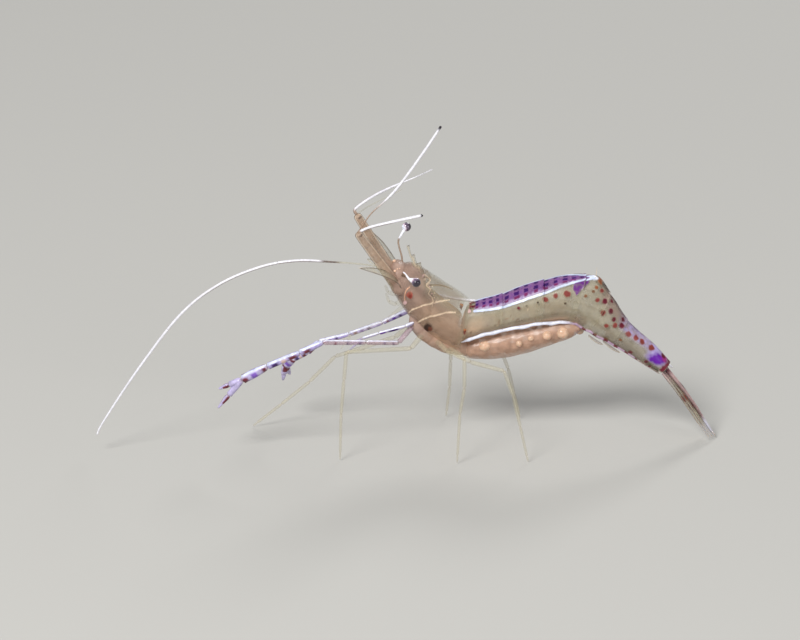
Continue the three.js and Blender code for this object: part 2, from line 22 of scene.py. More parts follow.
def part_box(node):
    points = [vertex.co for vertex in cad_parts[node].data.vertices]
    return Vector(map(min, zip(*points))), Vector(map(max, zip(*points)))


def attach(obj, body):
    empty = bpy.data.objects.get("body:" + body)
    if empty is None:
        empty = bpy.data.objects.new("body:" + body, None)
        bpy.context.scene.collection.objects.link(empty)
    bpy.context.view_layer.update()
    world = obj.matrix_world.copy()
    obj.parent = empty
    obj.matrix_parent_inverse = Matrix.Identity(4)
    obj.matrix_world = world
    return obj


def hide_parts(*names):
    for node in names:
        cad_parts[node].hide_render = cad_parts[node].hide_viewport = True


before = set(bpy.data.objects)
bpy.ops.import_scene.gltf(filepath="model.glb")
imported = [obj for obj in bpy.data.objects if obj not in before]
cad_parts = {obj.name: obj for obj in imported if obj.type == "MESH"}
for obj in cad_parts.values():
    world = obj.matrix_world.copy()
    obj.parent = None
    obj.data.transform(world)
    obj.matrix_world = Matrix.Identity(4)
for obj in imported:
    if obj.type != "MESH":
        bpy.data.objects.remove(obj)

LOG = logging.getLogger("shrimp")
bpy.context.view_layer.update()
MM = 0.001
BODY = "root"
SPOT_BLUR = 0.3

Colour = tuple[int, int, int]
Pair = tuple[float, float]
Point = tuple[float, float, float]
Array = np.ndarray
Laid = tuple[Array, Array, Array]


class Side(Enum):
    """The two sides of the animal, by the sign of y."""

    LEFT = -1
    RIGHT = 1

    @property
    def letter(self) -> str:
        """The letter that ends a piece's name on this side."""
        return "l" if self is Side.LEFT else "r"


class Slot(Enum):
    """The record's finishes that pieces take."""

    SHELL = "shell"
    ABDOMEN = "abdomen"
    TAIL = "tail"
    CLAW = "claw"
    LIMB = "limb"
    FEELER = "feeler"
    EYE = "eye"
    EGG = "egg"


def sided(left: object, right: object) -> dict:
    """A dataclass field that holds one value for each side."""
    return field(default_factory=lambda: {Side.LEFT: left, Side.RIGHT: right})


@dataclass(frozen=True)
class Palette:
    """The animal's colours, as screen values from 0 to 255."""

    white: Colour = (226, 228, 242)
    cream: Colour = (228, 204, 176)
    clear: Colour = (186, 178, 150)
    tan: Colour = (184, 156, 134)
    deep_tan: Colour = (202, 164, 132)
    brown: Colour = (122, 84, 62)
    umber: Colour = (58, 34, 24)
    orange: Colour = (214, 130, 72)
    lilac: Colour = (190, 176, 222)
    purple: Colour = (56, 18, 92)
    maroon: Colour = (104, 32, 46)
    rust: Colour = (130, 60, 54)
    pink: Colour = (226, 186, 184)
    grape: Colour = (94, 80, 100)
    ink: Colour = (30, 22, 34)
    outline: Colour = (92, 74, 60)


INK = Palette()


def linear(colour: Colour) -> Array:
    """Turns a screen colour into the linear values that shaders use.

    Args:
        colour: Red, green and blue from 0 to 255.

    Returns:
        Three linear values from 0 to 1.
    """
    share = np.array(colour, dtype=float) / 255.0
    return np.where(share <= 0.04045, share / 12.92, ((share + 0.055) / 1.055) ** 2.4)


def smooth_run(values: Array, place: Array) -> Array:
    """Reads a smooth run through rows of values.

    Args:
        values: One row for each whole step.
        place: Where to read, counted in whole steps.

    Returns:
        One row for each place.
    """
    place = np.atleast_1d(np.asarray(place, dtype=float))
    last = len(values) - 1
    step = np.clip(np.floor(place).astype(int), 0, last - 1)
    share = (place - step)[:, None]
    before, start, end, after = (values[np.clip(step + k, 0, last)] for k in (-1, 0, 1, 2))
    bend = 2 * before - 5 * start + 4 * end - after + share * (3 * (start - end) + after - before)
    return start + 0.5 * share * (end - before + share * bend)


def ease(low: float, high: float, value: Array) -> Array:
    """Rises smoothly from 0 at low to 1 at high."""
    share = np.clip((value - low) / (high - low), 0.0, 1.0)
    return share * share * (3 - 2 * share)


def fall(low: float, high: float, value: Array) -> Array:
    """Falls smoothly from 1 at low to 0 at high."""
    return 1 - ease(low, high, value)


def bell(value: Array, middle: float, width: float, power: int = 2) -> Array:
    """A bell that is 1 at its middle, flatter on top with a higher power."""
    return np.exp(-(((value - middle) / width) ** power))


def closed(share: Array, power: float, least: float) -> Array:
    """The size of a form's sections as it rounds off at both ends."""
    return np.sqrt(np.clip(1 - np.abs(2 * share - 1) ** power, least, 1))


@dataclass(frozen=True)
class Form:
    """A body form through oval sections, each a row of x, y, z, lean, half height and half width."""

    sections: Sequence[tuple[float, ...]]
    roll: Pair = (0.0, 0.0)
    narrowing: float = 0.0
    turn: Matrix = field(default_factory=lambda: Matrix.Identity(4))

    @property
    def last(self) -> int:
        """The count of the last section."""
        return len(self.sections) - 1

    def surface(self, along: Array, around: Array, scale: Array | float = 1.0) -> Array:
        """Places points on the form.

        Args:
            along: Each point's place along the form, in sections.
            around: Each point's angle from the middle of the back, in degrees.
            scale: How large the section is there, 1 being the form itself.

        Returns:
            One x, y, z row for each point, in the body's frame.
        """
        x, y, z, lean, tall, wide = smooth_run(np.array(self.sections, dtype=float), along).T
        roll = np.radians(self.roll[0] + (self.roll[1] - self.roll[0]) * along / self.last)
        lean = np.radians(lean)
        angle = np.radians(around)
        still = np.zeros_like(lean)
        straight = np.stack([np.sin(lean), still, np.cos(lean)], -1)
        across = np.stack([still, still + 1, still], -1)
        up = straight * np.cos(roll)[:, None] - across * np.sin(roll)[:, None]
        side = across * np.cos(roll)[:, None] + straight * np.sin(roll)[:, None]
        reach = wide * scale * np.sin(angle) * (1 - self.narrowing * np.maximum(0, -np.cos(angle)))
        points = (np.stack([x, y, z], -1) + side * reach[:, None]
                  + up * (tall * scale * np.cos(angle))[:, None])
        turn = np.array(self.turn)
        return points @ turn[:3, :3].T + turn[:3, 3]


@dataclass(frozen=True)
class Posture:
    """How the head is held, and the forms of the body that every piece is placed by."""

    head_origin: Point = (3.77, 0.0, 8.33)
    head_yaw: float = 15.0
    head_pitch: float = 38.0
    head_roll: float = 18.0

    @property
    def head(self) -> Matrix:
        """The head's frame in the body's, its x pointing backwards."""
        turn = Euler([math.radians(a) for a in (self.head_roll, self.head_pitch, self.head_yaw)], "XYZ")
        return Matrix.Translation(self.head_origin) @ turn.to_matrix().to_4x4()

    def in_head(self, forward: float, right: float, up: float) -> Vector:
        """A point of the head's frame, in the body's."""
        return self.head @ Vector((-forward, right, up))

    def facing(self, side: int) -> Array:
        """The direction that the head's flank faces, half towards the back.

        Args:
            side: -1 for the left flank, 1 for the right.

        Returns:
            A unit vector in the body's frame.
        """
        left = self.head.to_3x3().inverted() @ Vector((0.0, -0.932, 0.363))
        return np.array(self.head.to_3x3() @ Vector((left.x, -left.y * side, left.z)))


POSTURE = Posture()
EYE_CENTRES = {Side.LEFT: (4.0, -2.0, 0.05), Side.RIGHT: (4.71, 2.4, 0.49)}
CARAPACE_FORM = Form(
    [
        (0.83, 0, -1.47, -26, 1.60, 1.22),
        (0.40, 0, -1.50, -21, 1.60, 1.40),
        (-0.45, 0, -1.50, -14, 1.56, 1.50),
        (-1.40, 0, -1.42, -8, 1.48, 1.50),
        (-2.30, 0, -1.28, -3, 1.34, 1.36),
        (-3.10, 0, -1.14, 0, 1.16, 1.16),
        (-3.80, 0, -1.02, 3, 0.94, 0.94),
        (-4.25, 0, -0.98, 6, 0.66, 0.70),
    ],
    narrowing=0.12,
    turn=POSTURE.head,
)
TRUNK_FORM = Form(
    [
        (3.50, 0.38, 6.74, 14, 1.46, 1.12),
        (4.50, 0.36, 7.10, 6, 1.20, 1.10),
        (5.46, 0.35, 7.38, 0, 1.12, 1.08),
        (6.55, 0.33, 7.70, -2, 1.22, 1.14),
        (7.69, 0.32, 8.00, 1, 1.34, 1.18),
        (8.75, 0.31, 8.22, 7, 1.44, 1.20),
        (9.70, 0.30, 8.28, 15, 1.52, 1.20),
        (10.35, 0.30, 8.15, 23, 1.62, 1.18),
        (10.90, 0.30, 7.62, 30, 1.38, 1.10),
        (11.40, 0.30, 7.10, 33, 1.15, 1.02),
        (11.95, 0.30, 6.53, 38, 0.92, 0.88),
        (12.75, 0.30, 5.86, 42, 0.76, 0.74),
        (13.75, 0.30, 5.07, 43, 0.66, 0.64),
        (14.73, 0.30, 4.22, 44, 0.47, 0.50),
    ],
    roll=(17.0, 8.0),
    narrowing=0.2,
)
EGG_FORM = Form(
    [
        (3.35, 0.62, 5.50, 10, 0.30, 0.45),
        (3.90, 0.62, 5.45, 5, 0.74, 0.85),
        (5.40, 0.62, 5.60, 0, 0.96, 0.98),
        (7.00, 0.60, 5.95, 0, 0.98, 1.00),
        (8.60, 0.55, 6.40, 8, 0.86, 0.95),
        (9.70, 0.50, 6.62, 16, 0.66, 0.80),
        (10.20, 0.50, 6.70, 22, 0.30, 0.45),
    ],
    roll=(17.0, 17.0),
    narrowing=0.1,
)


def body_shift() -> Vector:
    """How far the body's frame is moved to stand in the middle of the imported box, in millimetres."""
    low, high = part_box("eye_l")
    return (Vector(low) + Vector(high)) / 2 / MM - POSTURE.in_head(*EYE_CENTRES[Side.LEFT])


SHIFT = body_shift()


class Coat:
    """The colour and opacity of a mesh's points, painted layer over layer."""

    def __init__(self, points: Array, along: Array, around: Array, colour: Colour, opacity: float):
        """Starts with one colour all over.

        Args:
            points: The mesh's points in millimetres.
            along: Each point's place along its form.
            around: Each point's angle round its form, in degrees.
            colour: The ground colour.
            opacity: The ground opacity, from 0 to 1.
        """
        self.points = points
        self.along = along
        self.around = around
        self.tint = np.empty((len(points), 4))
        self.tint[:, :3] = linear(colour)
        self.tint[:, 3] = opacity
        self._grain: Array | None = None

    @property
    def grain(self) -> Array:
        """Fine noise at each point, from -1 to 1, for uneven edges."""
        if self._grain is None:
            self._grain = np.array([noise.noise(Vector(p) * 6.0) for p in self.points])
        return self._grain

    def lay(self, mask: Array, colour: Colour, opacity: float | None = None) -> None:
        """Lays a colour over what is there.

        Args:
            mask: How much of the new colour each point takes, from 0 to 1.
            colour: The new colour.
            opacity: The new opacity, or None to keep what is there.
        """
        mask = np.clip(mask, 0.0, 1.0)[:, None]
        self.tint[:, :3] = self.tint[:, :3] * (1 - mask) + linear(colour) * mask
        if opacity is not None:
            self.tint[:, 3:] = self.tint[:, 3:] * (1 - mask) + opacity * mask

    def spot(self, centre: Sequence[float], radius: float, colour: Colour, opacity: float) -> None:
        """Paints a round spot.

        Args:
            centre: The spot's middle, in millimetres.
            radius: Its radius in millimetres.
            colour: Its colour.
            opacity: Its opacity.
        """
        reach = np.linalg.norm(self.points - np.asarray(centre), axis=1) + self.grain * radius * SPOT_BLUR
        self.lay(fall(radius * (1 - SPOT_BLUR), radius * (1 + SPOT_BLUR), reach), colour, opacity)

    def blot(self, centre: Sequence[float], facing: Array, radius: float, colour: Colour,
             opacity: float) -> None:
        """Paints a spot that is round when it is seen along one direction, on a surface that slants away.

        Args:
            centre: The spot's middle, in millimetres.
            facing: The direction that it faces, as a unit vector.
            radius: Its radius in millimetres.
            colour: Its colour.
            opacity: Its opacity.
        """
        offset = self.points - np.asarray(centre)
        depth = offset @ facing
        reach = np.linalg.norm(offset - depth[:, None] * facing, axis=1) / radius + self.grain * 0.2
        self.lay(fall(0.8, 1.15, reach) * (np.abs(depth) < 3.0 * radius), colour, opacity)

    def line(self, route: Array, half_width: Array | float, colour: Colour, opacity: float) -> None:
        """Paints a line along a route.

        Args:
            route: The route's points, close together, in millimetres.
            half_width: Half the line's width, one value or one for each point of the route.
            colour: The line's colour.
            opacity: The line's opacity.
        """
        widths = np.broadcast_to(half_width, (len(route),))
        low, high = self.points.min(axis=0) - 0.4, self.points.max(axis=0) + 0.4
        inside = np.all((route > low) & (route < high), axis=1)
        if not inside.any():
            return
        gaps = np.linalg.norm(self.points[:, None, :] - route[inside][None, :, :], axis=2)
        reach = (gaps / widths[inside][None, :]).min(axis=1) + self.grain * 0.22
        self.lay(fall(0.72, 1.28, reach), colour, opacity)


Painter = Callable[[Coat], None]


def node(tree: bpy.types.NodeTree, kind: str, sockets: dict) -> bpy.types.Node:
    """Adds a shader node.

    Args:
        tree: The material's node tree.
        kind: The node's type, without its ShaderNode prefix.
        sockets: A constant or another node's output for each input, by name or number.

    Returns:
        The node.
    """
    made = tree.nodes.new(f"ShaderNode{kind}")
    for key, value in sockets.items():
        if isinstance(value, bpy.types.NodeSocket):
            tree.links.new(value, made.inputs[key])
        else:
            made.inputs[key].default_value = value
    return made


@dataclass(frozen=True)
class Finish:
    """A wet, see-through shell or skin. Its colour and opacity come from the mesh's own paint."""

    name: str
    roughness: float = 0.3
    coat: float = 0.5
    coat_roughness: float = 0.12
    refraction: float = 1.36
    subsurface: float = 0.0
    mottle: float = 0.18
    mottle_size: float = 0.35
    relief: float = 0.012
    relief_size: float = 0.09
    cloud: float = 0.25

    def material(self) -> bpy.types.Material:
        """The finish as a material, made once.

        Returns:
            The material with its node tree.
        """
        made = bpy.data.materials.get(self.name)
        if made is not None:
            return made
        made = bpy.data.materials.new(self.name)
        made.use_nodes = True
        made.use_backface_culling = False
        tree = made.node_tree
        tree.nodes.clear()
        output = node(tree, "OutputMaterial", {})
        surface = node(tree, "BsdfPrincipled", {
            "Coat Weight": self.coat, "Coat Roughness": self.coat_roughness, "IOR": self.refraction})
        paint = node(tree, "Attribute", {})
        paint.attribute_name = "tint"
        place = node(tree, "TexCoord", {}).outputs["Object"]
        mottle = self._noise(tree, place, self.mottle_size, detail=4.0)
        relief = self._noise(tree, place, self.relief_size, detail=3.0)
        if self.subsurface:
            surface.inputs["Subsurface Weight"].default_value = self.subsurface
            surface.inputs["Subsurface Scale"].default_value = 0.3 * MM
            surface.inputs["Subsurface Radius"].default_value = (1.0, 0.6, 0.45)
        shade = node(tree, "HueSaturation", {
            "Color": paint.outputs["Color"],
            "Value": self._range(tree, mottle, 1 - self.mottle, 1 + self.mottle)})
        clouds = node(tree, "Math", {
            0: paint.outputs["Alpha"], 1: self._range(tree, mottle, 1 - self.cloud, 1 + self.cloud)})
        clouds.operation = "MULTIPLY"
        clouds.use_clamp = True
        gloss = self._range(tree, relief, self.roughness * 0.75, self.roughness * 1.3)
        bump_map = node(tree, "Bump", {"Distance": self.relief * MM, "Strength": 1.0, "Height": relief})
        for socket, source in (
            ("Base Color", shade.outputs["Color"]), ("Alpha", clouds.outputs["Value"]), ("Roughness", gloss),
            ("Normal", bump_map.outputs["Normal"]),
        ):
            tree.links.new(source, surface.inputs[socket])
        tree.links.new(surface.outputs["BSDF"], output.inputs["Surface"])
        return made

    @staticmethod
    def _noise(tree: bpy.types.NodeTree, place: bpy.types.NodeSocket, size: float,
               detail: float) -> bpy.types.NodeSocket:
        """Adds noise whose features are about size millimetres across, and gives its output."""
        return node(tree, "TexNoise",
                    {"Scale": 1.0 / (size * MM), "Detail": detail, "Vector": place}).outputs["Fac"]

    @staticmethod
    def _range(tree: bpy.types.NodeTree, source: bpy.types.NodeSocket, low: float,
               high: float) -> bpy.types.NodeSocket:
        """Spreads noise over a range of values, and gives the output that holds them."""
        spread = {"From Min": 0.3, "From Max": 0.7, "To Min": low, "To Max": high, "Value": source}
        return node(tree, "MapRange", spread).outputs["Result"]


CUTICLE = Finish("clear_cuticle", roughness=0.34, coat=0.16, refraction=1.22, mottle=0.1, mottle_size=0.5,
                 relief=0.006, cloud=0.2)
CARAPACE_SHELL = Finish("carapace_shell", roughness=0.36, coat=0.18, refraction=1.22, mottle=0.14,
                        mottle_size=0.4, relief=0.014, cloud=0.12)
FLESH = Finish("muscle", roughness=0.5, coat=0.05, mottle=0.08, mottle_size=0.6, relief=0.006,
               relief_size=0.3, cloud=0.18)
LIMB_SHELL = Finish("limb_shell", roughness=0.3, coat=0.25, refraction=1.28, mottle=0.08, mottle_size=0.5,
                    relief=0.003, cloud=0.15)
CLAW_SHELL = Finish("claw_shell", roughness=0.32, coat=0.3, mottle=0.16, mottle_size=0.22, relief=0.008,
                    cloud=0.1)
FEELER_SHELL = Finish("feeler_shell", roughness=0.42, coat=0.2, mottle=0.08, mottle_size=0.2, relief=0.006,
                      cloud=0.05)
CORNEA = Finish("cornea", roughness=0.08, coat=1.0, coat_roughness=0.04, mottle=0.25, mottle_size=0.08,
                relief=0.004, relief_size=0.035, cloud=0.0)
EGG_SKIN = Finish("egg_skin", roughness=0.28, coat=0.35, subsurface=0.25, mottle=0.1, mottle_size=0.3,
                  relief=0.004, cloud=0.1)
EGG_BED = Finish("egg_bed", roughness=0.36, coat=0.25, mottle=0.1, mottle_size=0.3, relief=0.01,
                 relief_size=0.12, cloud=0.1)


class Piece:
    """One mesh of the model while it is being made."""

    def __init__(self, name: str):
        """Opens an empty mesh with its two measures along and around.

        Args:
            name: The piece's name.
        """
        self.name = name
        self.mesh = bmesh.new()
        self.along = self.mesh.verts.layers.float.new("along")
        self.around = self.mesh.verts.layers.float.new("around")

    def ring(self, matrix: Matrix, sides: int, along: float) -> list[bmesh.types.BMEdge]:
        """Adds an oval ring.

        Args:
            matrix: Takes the unit circle, whose y points to the middle of the back, to its place.
            sides: How many edges it has.
            along: The ring's place along the form.

        Returns:
            The ring's edges.
        """
        made = bmesh.ops.create_circle(self.mesh, segments=sides, radius=1.0, matrix=matrix)["verts"]
        for i, vert in enumerate(made):
            vert[self.along] = along
            vert[self.around] = (360.0 * i / sides + 180.0) % 360.0 - 180.0
        members = set(made)
        return [edge for edge in {e for v in made for e in v.link_edges} if set(edge.verts) <= members]

    def tube(self, frames: Sequence[Matrix], sides: int, alongs: Sequence[float]) -> None:
        """Adds a closed tube through rings.

        Args:
            frames: Each ring's place and size.
            sides: How many sides the tube has.
            alongs: Each ring's place along the tube.
        """
        rings = [self.ring(matrix, sides, along) for matrix, along in zip(frames, alongs)]
        for before, after in zip(rings, rings[1:]):
            bmesh.ops.bridge_loops(self.mesh, edges=before + after)
        for end in (rings[0], rings[-1]):
            bmesh.ops.contextual_create(self.mesh, geom=end)

    def skin(self, rows: int, columns: int, place: Callable[[Array, Array], Laid]) -> None:
        """Adds a sheet laid over a form.

        Args:
            rows: How many strips it has along the form.
            columns: How many it has across.
            place: Takes each point's two shares, from 0 to 1, to its place and its two measures.
        """
        made = bmesh.ops.create_grid(self.mesh, x_segments=rows, y_segments=columns, size=0.5)["verts"]
        shares = np.array([vert.co[:2] for vert in made]) + 0.5
        points, along, around = place(shares[:, 0], shares[:, 1])
        for vert, point, t, angle in zip(made, points, along, around):
            vert.co = point
            vert[self.along] = t
            vert[self.around] = angle
        bmesh.ops.remove_doubles(self.mesh, verts=made, dist=1e-5)

    def ball(self, centre: Vector, radius: float, along: float = 0.0, finer: int = 2,
             stretch: Matrix | None = None) -> None:
        """Adds a round or oval bead.

        Args:
            centre: The bead's middle.
            radius: Its radius.
            along: Its place along the form.
            finer: How finely it is divided.
            stretch: What makes it oval, or None.
        """
        matrix = Matrix.Translation(centre) @ (stretch or Matrix.Identity(4)) @ Matrix.Scale(radius, 4)
        made = bmesh.ops.create_icosphere(self.mesh, subdivisions=finer, radius=1.0, matrix=matrix)["verts"]
        for vert in made:
            vert[self.along] = along

    def hair(self, root: Vector, tip: Vector, radius: float) -> None:
        """Adds a fine bristle.

        Args:
            root: Where it grows.
            tip: Where it ends.
            radius: Its radius at the root.
        """
        reach = tip - root
        turn = reach.to_track_quat("Z", "Y").to_matrix().to_4x4()
        matrix = Matrix.Translation((root + tip) / 2) @ turn
        bmesh.ops.create_cone(self.mesh, cap_ends=True, segments=5, radius1=radius, radius2=radius * 0.25,
                              depth=reach.length, matrix=matrix)

    def place(self, finish: Finish, slot: Slot, nodes: Sequence[str], ground: Colour, opacity: float,
              painter: Painter | None = None, wall: float = 0.0) -> None:
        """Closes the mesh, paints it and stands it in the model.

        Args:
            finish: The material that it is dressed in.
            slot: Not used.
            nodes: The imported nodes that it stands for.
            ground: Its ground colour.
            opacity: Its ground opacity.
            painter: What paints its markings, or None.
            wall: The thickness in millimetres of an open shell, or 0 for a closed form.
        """
        if not wall:
            bmesh.ops.recalc_face_normals(self.mesh, faces=self.mesh.faces)
        data = bpy.data.meshes.new(self.name)
        self.mesh.to_mesh(data)
        self.mesh.free()
        count = len(data.vertices)
        points = np.empty(count * 3)
        data.vertices.foreach_get("co", points)
        measures = {}
        for key in ("along", "around"):
            measures[key] = np.empty(count)
            data.attributes[key].data.foreach_get("value", measures[key])
            data.attributes.remove(data.attributes[key])
        coat = Coat(points.reshape(-1, 3), measures["along"], measures["around"], ground, opacity)
        if painter is not None:
            painter(coat)
        tint = data.color_attributes.new("tint", "FLOAT_COLOR", "POINT")
        tint.data.foreach_set("color", np.clip(coat.tint, 0.0, 1.0).ravel())
        data.transform(Matrix.Scale(MM, 4) @ Matrix.Translation(SHIFT))
        data.shade_smooth()
        made = bpy.data.objects.new(self.name, data)
        bpy.context.collection.objects.link(made)
        data.materials.append(finish.material())
        if wall:
            shell = made.modifiers.new("wall", "SOLIDIFY")
            shell.thickness = wall * MM
            shell.offset = -1.0
        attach(made, BODY)
        if nodes:
            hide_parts(*nodes)
        LOG.info("%s: %d points", self.name, count)


@dataclass(frozen=True)
class Route:
    """A smooth route through points, with a flat or round section carried along it."""

    points: Sequence[Vector]
    level: Vector = field(default_factory=lambda: Vector((0.0, 0.0, 1.0)))

    def at(self, shares: Array) -> Array:
        """Points of the route, by the share of its length.

        Args:
            shares: Values from 0 to 1.

        Returns:
            One x, y, z row for each share.
        """
        knots = np.array([p[:] for p in self.points], dtype=float)
        fine = np.linspace(0, len(knots) - 1, 24 * len(knots))
        run = smooth_run(knots, fine)
        steps = np.linalg.norm(np.diff(run, axis=0), axis=1)
        reach = np.concatenate([[0.0], np.cumsum(steps)])
        return np.stack([np.interp(np.asarray(shares) * reach[-1], reach, run[:, k]) for k in range(3)], -1)

    def length(self) -> float:
        """The route's length in millimetres."""
        run = self.at(np.linspace(0, 1, 80))
        return float(np.linalg.norm(np.diff(run, axis=0), axis=1).sum())

    def frames(self, shares: Array, wide: Array, tall: Array) -> list[Matrix]:
        """Rings along the route.

        Args:
            shares: Where the rings are, as shares of the length.
            wide: Each ring's half width.
            tall: Each ring's half height, towards the route's level side.

        Returns:
            A matrix for each ring, taking the unit circle to its place.
        """
        run = [Vector(p) for p in self.at(shares)]
        made = []
        up = self.level
        for i, point in enumerate(run):
            ahead = (run[min(i + 1, len(run) - 1)] - run[max(i - 1, 0)]).normalized()
            up = (up - ahead * up.dot(ahead)).normalized()
            across = up.cross(ahead)
            turn = Matrix((across, up, ahead)).transposed().to_4x4()
            made.append(Matrix.Translation(point) @ turn @ Matrix.Diagonal((wide[i], tall[i], 1.0, 1.0)))
        return made


def vectors(points: Sequence[Point]) -> list[Vector]:
    """Points as vectors."""
    return [Vector(p) for p in points]


@dataclass
class Carapace:
    """The shell over the head and thorax, with the orange organs seen through it, and the toothed rostrum."""

    rows: int = 130
    columns: int = 190
    wall: float = 0.05
    organs_scale: float = 0.93
    freckles: int = 110
    freckle_seed: int = 11
    crest_height: float = 0.12
    upper_stripe: Sequence[Pair] = (
        (4.2, -140), (4.33, -116), (4.15, -88), (3.85, -74), (3.57, -62), (3.07, -46), (2.6, -34),
    )
    lower_stripe: Sequence[Pair] = (
        (3.4, -142), (3.49, -116), (3.33, -94), (2.92, -75), (2.45, -60), (1.88, -50),
    )
    brow_line: Sequence[Pair] = (
        (5.13, -16), (4.51, -20), (4.66, -42), (4.27, -44), (4.25, -56), (3.92, -57), (3.61, -62),
    )
    cheek_line: Sequence[Pair] = ((5.71, -79), (5.72, -92), (5.53, -106), (5.3, -116), (4.97, -126))

    def surface(self, along: Array, around: Array, scale: Array | float = 1.0) -> Array:
        """The shell's surface with its keel, its neck groove and its bulging gill chambers.

        Args:
            along: Each point's place along the form.
            around: Each point's angle.
            scale: How large the section is there.

        Returns:
            One x, y, z row for each point.
        """
        keel = 0.03 * bell(around, 0, 9.0) * ease(2.2, 4.2, along) * fall(6.2, 6.9, along)
        crest = -0.06 * fall(30, 95, np.abs(around)) * bell(along, 3.9, 1.6, 4)
        lean = 4.6 - 0.014 * np.abs(around)
        groove = (-0.035 * bell(along, lean, 0.16) * ease(18, 40, np.abs(around))
                  * fall(110, 140, np.abs(around)))
        gills = 0.03 * bell(np.abs(around), 100, 26.0) * bell(along, 2.0, 1.6)
        return CARAPACE_FORM.surface(along, around, scale * (1 + keel + crest + groove + gills))

    def shell(self) -> None:
        """Builds the carapace, closed in front and open behind and below its lower margin."""
        piece = Piece("carapace_shell")
        last = CARAPACE_FORM.last

        def lay(u: Array, v: Array) -> Laid:
            around = (v - 0.5) * 360.0
            along = u * last
            front = np.sqrt(np.clip(1 - (np.clip(u - 0.9, 0, 1) / 0.1) ** 2, 0, 1))
            return self.surface(along, around, front), along, around

        piece.skin(self.rows, self.columns, lay)
        piece.place(CARAPACE_SHELL, Slot.SHELL, ["carapace"], INK.tan, 0.36, self.paint, wall=self.wall)

    def organs(self) -> None:
        """Builds the soft organs, which fill the head but leave the crest behind it clear."""
        piece = Piece("thorax_organs")

        def lay(u: Array, v: Array) -> Laid:
            around = (v - 0.5) * 360.0
            along = -0.42 + u * (CARAPACE_FORM.last + 0.24)
            ends = closed(u, 14, 0)
            ceiling = self.crest_height + (1.0 - self.crest_height) * ease(3.7, 5.1, along)
            lid = ceiling / np.maximum(np.cos(np.radians(around)), 0.02)
            rounded = 1.0 / (1.0 + (1.0 / np.maximum(lid, 0.02)) ** 6) ** (1.0 / 6.0)
            rounded = rounded * (1 - 0.12 * fall(-0.42, 0.3, along))
            return CARAPACE_FORM.surface(along, around, ends * self.organs_scale * rounded), along, around

        piece.skin(90, 120, lay)
        piece.place(FLESH, Slot.SHELL, [], INK.deep_tan, 0.8, self.paint_organs)

    def paint_organs(self, coat: Coat) -> None:
        """Pinker in front, olive between the stripes, fading out where the clear crest starts, and with the
        lower rear painted lighter as painted light where it turns away from the lamps.
        """
        turn = np.abs(coat.around)
        coat.lay(ease(3.6, 4.6, coat.along), (174, 145, 130), 0.8)
        olive = bell(coat.along - 0.014 * (turn - 90), 3.0, 0.55, 4) * fall(112, 138, turn)
        coat.lay(olive * 0.5, (166, 144, 112), 0.75)
        lid = fall(58, 92, turn) * fall(3.6, 4.9, coat.along)
        coat.lay(lid, INK.clear, 0.22)
        # Painted light: the lower rear is lifted to a light tan where it curves away from the lamps into
        # shade.
        coat.lay(fall(1.6, 3.0, coat.along) * ease(84, 118, turn), (226, 188, 158), 0.84)
        coat.lay(fall(-0.4, 1.0, coat.along) * fall(60, 110, turn), INK.clear, 0.3)
        coat.lay(fall(-0.4, 0.3, coat.along), INK.deep_tan, 0.2)

    def paint(self, coat: Coat) -> None:
        """Paints the shell's cream stripes, spots and clear back, and a light tan over the lower rear that is
        painted light where the shell turns away from the lamps.
        """
        turn = np.abs(coat.around)
        coat.lay(ease(3.0, 5.5, coat.along), (176, 149, 134), 0.34)
        # Painted light: a light tan over the lower rear, where the shell curves away from the lamps into
        # shade.
        coat.lay(ease(104, 128, turn) * fall(2.0, 3.2, coat.along), (220, 182, 152), 0.62)
        back = fall(34, 66, turn) * fall(4.2, 5.8, coat.along)
        coat.lay(back, INK.clear, 0.14)
        coat.lay(fall(0.0, 1.3, coat.along) * fall(100, 130, turn), INK.clear, 0.12)
        for side in (-1, 1):
            visible = self.upper_stripe if side < 0 else self.upper_stripe[:5]
            self.line(coat, visible, side, (0.026, 0.046), INK.cream, 0.88)
            self.line(coat, self.lower_stripe, side, (0.03, 0.05), INK.cream, 0.94)
            brow = self.brow_line if side < 0 else self.brow_line[2:]
            self.line(coat, brow, side, (0.026, 0.036), (214, 188, 160), 0.7)
            self.line(coat, self.cheek_line, side, (0.016, 0.03), (222, 170, 140), 0.85)
            self.mark(coat, 2.89, 120 * side, 0.23, INK.umber, 0.99)
            self.mark(coat, 2.74, 116 * side, 0.12, (112, 56, 34), 0.99)
            self.mark(coat, 5.3, 95 * side, 0.18, (164, 88, 74), 0.85)
            self.mark(coat, 5.16, 97 * side, 0.12, (142, 62, 52), 0.85)
            self.mark(coat, 5.38, 90 * side, 0.05, INK.brown, 0.9)
            self.mark(coat, 4.97, 126 * side, 0.11, INK.pink, 0.95)
            self.mark(coat, 0.2, 74 * side, 0.1, INK.orange, 0.9)
            self.mark(coat, 0.05, 78 * side, 0.13, INK.rust, 0.7)
        self.freckle(coat)

    def line(self, coat: Coat, stops: Sequence[Pair], side: int, widths: Pair,
             colour: Colour, opacity: float) -> None:
        """Paints a line whose stops are given for the left side.

        Args:
            coat: The paint.
            stops: Places along and around, for the left side.
            side: -1 for the left, 1 for the right.
            widths: The line's half width at its start and middle.
            colour: Its colour.
            opacity: Its opacity.
        """
        run = smooth_run(np.array(stops), np.linspace(0, len(stops) - 1, 90))
        route = self.surface(run[:, 0], run[:, 1] * -side)
        places = np.linspace(0.15, 0.92, len(route))
        share = np.sin(places * math.pi) * (0.8 + 0.3 * np.sin(places * 41.0) * np.sin(places * 17.0))
        coat.line(route, widths[0] + (widths[1] - widths[0]) * share, colour, opacity)

    def mark(self, coat: Coat, along: float, around: float, radius: float, colour: Colour,
             opacity: float) -> None:
        """Paints a spot at a place of the shell."""
        centre = self.surface(np.array([along]), np.array([around]))[0]
        coat.blot(centre, POSTURE.facing(1 if around > 0 else -1), radius, colour, opacity)

